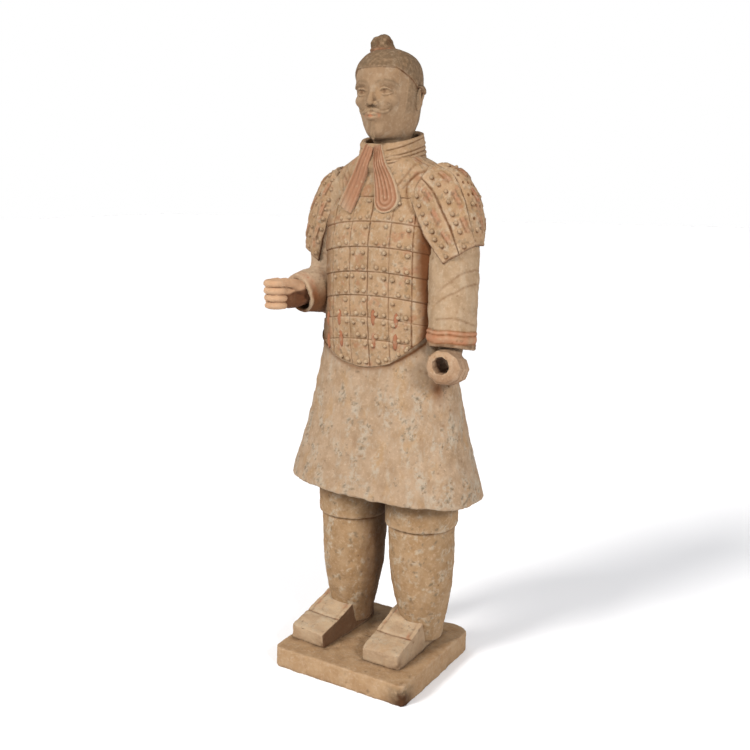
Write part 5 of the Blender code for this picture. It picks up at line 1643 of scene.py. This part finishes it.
def makeHead():
    block = startBlock(*head["box"], head["step"])
    x, y, z = np.meshgrid(*block["axes"], indexing="ij", sparse=True)
    half, front, back, middle = np.moveaxis(follow(head["stations"], z[0, 0]), -1, 0)
    depth = np.where(y - middle > 0, back, front)
    near = ((np.abs(x) / half) ** head["power"] + (np.abs(y - middle) / depth) ** head["power"]) ** (1 / head["power"])
    radial = np.sqrt(x * x + (y - middle) ** 2)
    field = radial - radial / np.maximum(near, 1e-6)
    field = np.maximum(field, np.maximum(z - head["top"], head["base"] - z))
    slope = np.sqrt(sum(part**2 for part in np.gradient(field, head["step"])))
    field = field / np.clip(slope, 1, 6)
    block["field"] = np.minimum(field, 0.05).astype(np.float32)

    for side in (-1, 1):
        for (x, y, z), (dx, dy, dz), blend in head["cuts"]:
            mould(block, wedge([((side * x, y, z), (side * dx, dy, dz))], *head["cutBox"]), blend, True)
    # sockets, brow and cheeks
    for side in (-1, 1):
        mould(block, blob((side * 0.036, -0.112, 1.702), (0.024, 0.0125, 0.0145), (0, 0, side * 14)), 10 * mm, True)
        mould(block, rope(*sided(head["brow"], side), 12), 9 * mm)
        mould(block, blob((side * 0.044, -0.08, 1.678), (0.02, 0.017, 0.015)), 16 * mm)
        # eyeball and lids
        mould(block, blob((side * 0.035, -0.086, 1.701), (0.018, 0.016, 0.0125), (0, 0, side * 8)), 1.0 * mm)
        for key in ("upperLid", "lowerLid"):
            mould(block, rope(*sided(head[key], side), 14), 1.6 * mm)
    # nose with wings and nostrils
    mould(block, rope(*head["nose"], 12), 7 * mm)
    for side in (-1, 1):
        mould(block, blob((side * 0.0118, -0.109, 1.6695), (0.0072, 0.0105, 0.0068)), 4 * mm)
        mould(block, blob((side * 0.0062, -0.1155, 1.662), (0.0032, 0.005, 0.003)), 1.5 * mm, True)
    # mouth and chin
    mould(block, blob((0, -0.0965, 1.64), (0.027, 0.014, 0.017)), 12 * mm)
    mould(block, rope(*head["upperLip"], 16), 2 * mm)
    mould(block, rope(*head["lowerLip"], 12), 2.5 * mm)
    mould(block, rope(*head["mouth"], 14), 1.2 * mm, True)
    mould(block, blob((0, -0.086, 1.6), (0.023, 0.018, 0.016)), 14 * mm)
    # moustache with turned-up ends, and a small tuft under the lip
    for side in (-1, 1):
        mould(block, rope(*sided(head["moustache"], side), 20), 2 * mm)
    mould(block, rope(*head["tuft"], 14), 3 * mm)
    # ears
    for side in (-1, 1):
        mould(block, blob((side * 0.085, 0.01, 1.688), (0.009, 0.016, 0.031), (-10, 0, side * 14)), 3 * mm)
        mould(block, rope(*sided(head["ear"], side), 26), 2 * mm)
        mould(block, blob((side * 0.095, 0.009, 1.693), (0.007, 0.0095, 0.0145), (-10, 0, 0)), 2 * mm, True)
        mould(block, rope([(side * 0.089, -0.003, 1.688), (side * 0.09, -0.003, 1.682)], [0.0033, 0.0028]), 2 * mm)

    # hair laid over the skull, then the knot with its band
    x, y, z = np.meshgrid(*block["axes"], indexing="ij", sparse=True)
    edge = hairEdge(x, y)
    covered = soft(z - edge, -1.5 * mm, 1.5 * mm)
    ears = bump(np.sqrt((np.abs(x) - 0.096) ** 2 + ((y - 0.01) * 0.8) ** 2 + ((z - 1.688) * 0.55) ** 2), 0.02)
    side = soft(np.abs(x), 0.06, 0.066) * soft(y, -0.048, -0.044) * soft(z, 1.64, 1.655)
    behind = soft(y, 0.01, 0.03) * soft(z, 1.59, 1.6)
    lower = np.clip(np.maximum(side, behind), 0, 1) * (1 - covered)
    raised = head["hairLift"] * covered * (1 - 0.6 * soft(z, 1.775, 1.815))
    raised = raised + 2.6 * mm * lower * (1 - np.clip(2 * ears, 0, 1))
    block["field"] -= raised.astype(np.float32)
    mould(block, rope(*head["topknot"], 12), 3 * mm)
    for lobe in head["lobes"]:
        mould(block, blob(*lobe), 2.5 * mm)
    mould(block, rope(*head["parting"]), 2 * mm, True)
    mould(block, blob((0.015, -0.02, 1.842), (0.0055, 0.007, 0.008)), 2 * mm, True)
    band = head["band"]
    turns = band["radius"] * np.exp(1j * np.linspace(0, math.tau, 33))
    loop = [np.array(band["centre"]) + [turn.real, turn.imag, -band["tilt"] * turn.real] for turn in turns]
    mould(block, rope(loop, [band["thick"]] * len(loop)), 1.2 * mm)

    surface = cast(block)
    points, px, py, pz, lift, dirt, paint, lime, soot = opened(surface, "lift dirt paint lime soot")
    edge = hairEdge(px, py)
    hair = soft(pz - edge, 0, 3 * mm)
    sideburn = soft(np.abs(px), 0.062, 0.068) * soft(py, -0.046, -0.042) * soft(py, 0.004, -0.004)
    sideburn = sideburn * soft(pz, 1.64, 1.655)
    lowHair = np.maximum(sideburn, soft(py, 0.02, 0.034) * soft(pz, 1.59, 1.6))
    kx, ky = head["knot"]
    around = np.arctan2(py - ky, px - kx)
    away = np.hypot(px - kx, py - ky)
    strands = np.cos(around * 70 + 2.5 * np.sin(around * 6 + 30 * away) + 9 * ripple(points, 0.09, 164))
    onKnot = soft(pz, 1.825, 1.831) * soft(away, 0.052, 0.046)
    lift += 0.22 * mm * strands * hair * (1 - onKnot) * soft(away, 0.03, 0.05)
    dirt += 0.1 * hair * (1 - onKnot) * soft(-strands, 0.2, 1.0) * soft(ripple(points, 0.04, 165), -0.4, 0.4)
    twist = np.cos(around * 7 + (pz - 1.82) * 120 + 2 * ripple(points, 0.03, 166))
    lift += 0.7 * mm * twist * onKnot
    dirt += 0.25 * onKnot * soft(-twist, 0.3, 1.0)
    crease = nearPath(points, [(-0.021, -0.03, 1.862), (-0.0215, -0.034, 1.842), (-0.018, -0.038, 1.826)])
    hole = nearPath(points, [(0.014, -0.02, 1.842), (0.015, -0.021, 1.843)])
    dirt += 0.4 * bump(crease, 5 * mm) + 0.9 * bump(hole, 9 * mm)
    combed = np.cos(pz * 900 + 80 * np.abs(px))
    lift += 0.15 * mm * combed * lowHair * (1 - hair)
    # painted shadow of the hair's thick edge along the hairline
    line = bump(pz - edge + 1.5 * mm, 2.2 * mm) * soft(np.abs(np.arctan2(px, -py)), 0.15, 0.9)
    dirt += (0.3 + 0.65 * soft(np.abs(px), 0.03, 0.07)) * line
    mirrored = np.abs(points[:, :1]) * [1, 0, 0] + points * [0, 1, 1]
    whiskers = nearPath(mirrored, head["moustache"][0])
    lift += 0.5 * mm * np.cos(pz * 2300 + np.abs(px) * 300) * bump(whiskers, 6 * mm)
    tuft = bump(nearPath(points, [(0, -0.108, 1.615), (0, -0.106, 1.58)]), 9 * mm)
    lift += 0.6 * mm * np.cos(px * 2200) * tuft
    brows = nearPath(mirrored, smoothPath(head["drawnBrow"]))
    soot += 0.7 * bump(brows, 3.6 * mm)
    lift += 0.6 * mm * bump(brows, 3 * mm)
    iris = nearPath(mirrored, [(0.035, -0.1015, 1.7012), (0.0351, -0.1015, 1.7012)])
    dirt += 0.9 * bump(iris, 4.6 * mm)
    lift -= 1.0 * mm * bump(iris, 2.4 * mm)
    paint += bump(nearPath(points, head["redLips"]), 6 * mm)
    paint += 0.9 * bump(pz - band["centre"][2], 7.5 * mm) * soft(away, 0.05, 0.044)
    drawn = 0.65 * bump(whiskers, 5 * mm) + 0.5 * bump(nearPath(mirrored, head["lashes"]), 2.2 * mm) + 0.5 * tuft
    soot[:] = np.clip(soot + drawn + np.maximum(0.8 * hair, 0.5 * lowHair) + 0.15 * onKnot, 0, 1)
    lime += 0.25 * soft(ripple(points, 0.05, 162, 2), 0.5, 1.2)
    roughen(surface, 0.35 * mm, 0.15 * mm, 161)
    dent(surface, 16, 163, (3.5 * mm, 6 * mm), 0.6 * mm, 0.3)
    carry(surface, Matrix.Translation(head["axis"]) @ Matrix.Rotation(math.radians(head["turn"]), 4, "Z"))
    addPiece("head_relief", surface, clays["face"], "head", 0.45)


makeHead()
print("head ready")


studio = {
    "room": 0.44, "wall": 1.0, "wallWay": (-0.53, 0.85, 0.0), "floor": "f2f4f8", "floorReach": 30.0, "aim": (0, 0, 1),
    "key": {"from": (-1.5, -3.1, 3.4), "strength": 3.45, "softness": 20.0, "colour": "fffaf4"},
    "fill": {"from": (3.4, -1.9, 2.6), "size": 0.9, "strength": 140.0, "colour": "fffaf6"},
}


def makeStage():
    material = bpy.data.materials.new("matt_paper_floor")
    tree = freshTree(material)
    look = {"Base Color": linear(studio["floor"]), "Roughness": 0.9, "Specular IOR Level": 0.1}
    shader = addNode(tree, "ShaderNodeBsdfPrincipled", look)[0]
    addNode(tree, "ShaderNodeOutputMaterial", {}, {"Surface": shader})
    mesh = bpy.data.meshes.new("floor")
    reach = studio["floorReach"]
    mesh.from_pydata([(x * reach, y * reach, 0) for x, y in ((-1, -1), (1, -1), (1, 1), (-1, 1))], [], [(0, 1, 2, 3)])
    mesh.materials.append(material)
    floor = addObject("floor", mesh)

    # a dim room in front and a bright wall behind
    world = bpy.data.worlds.new("pale_room")
    bpy.context.scene.world = world
    tree = freshTree(world)
    way = addNode(tree, "ShaderNodeTexCoord")["Generated"]
    facing = addNode(tree, "ShaderNodeVectorMath", {"operation": "DOT_PRODUCT", 1: studio["wallWay"]}, {0: way})[1]
    limits = {"From Min": 0.3, "From Max": 0.85, "To Min": studio["room"], "To Max": studio["wall"]}
    limits["interpolation_type"] = "SMOOTHSTEP"
    strength = addNode(tree, "ShaderNodeMapRange", limits, {"Value": facing})[0]
    sky = addNode(tree, "ShaderNodeBackground", {"Color": (1, 1, 1, 1)}, {"Strength": strength})[0]
    addNode(tree, "ShaderNodeOutputWorld", {}, {"Surface": sky})


def addLamp(name, kind, row):
    data = bpy.data.lights.new(name, kind)
    data.energy, data.color = row["strength"], linear(row["colour"])[:3]
    if kind == "SUN":
        data.angle = math.radians(row["softness"])
    else:
        data.shape, data.size = "DISK", row["size"]
    lamp = addObject(name, data)
    lamp.location = row["from"]
    lamp.rotation_euler = (Vector(studio["aim"]) - Vector(row["from"])).to_track_quat("-Z", "Y").to_euler()


view = {"place": (1.431, -2.29, 1.46), "azimuth": 32.0, "down": 11.65, "lens": 45.12, "shift": 0.0027}


def makeCamera():
    data = bpy.data.cameras.new("camera")
    data.lens, data.sensor_width, data.shift_x = view["lens"], 36.0, view["shift"]
    camera = addObject("camera", data)
    camera.location = view["place"]
    camera.rotation_euler = (math.radians(90 - view["down"]), 0, math.radians(view["azimuth"]))
    bpy.context.scene.camera = camera


makeStage()
addLamp("key", "SUN", studio["key"])
addLamp("fill", "AREA", studio["fill"])
makeCamera()
bpy.context.scene.view_settings.view_transform = "Standard"
print("stage ready")
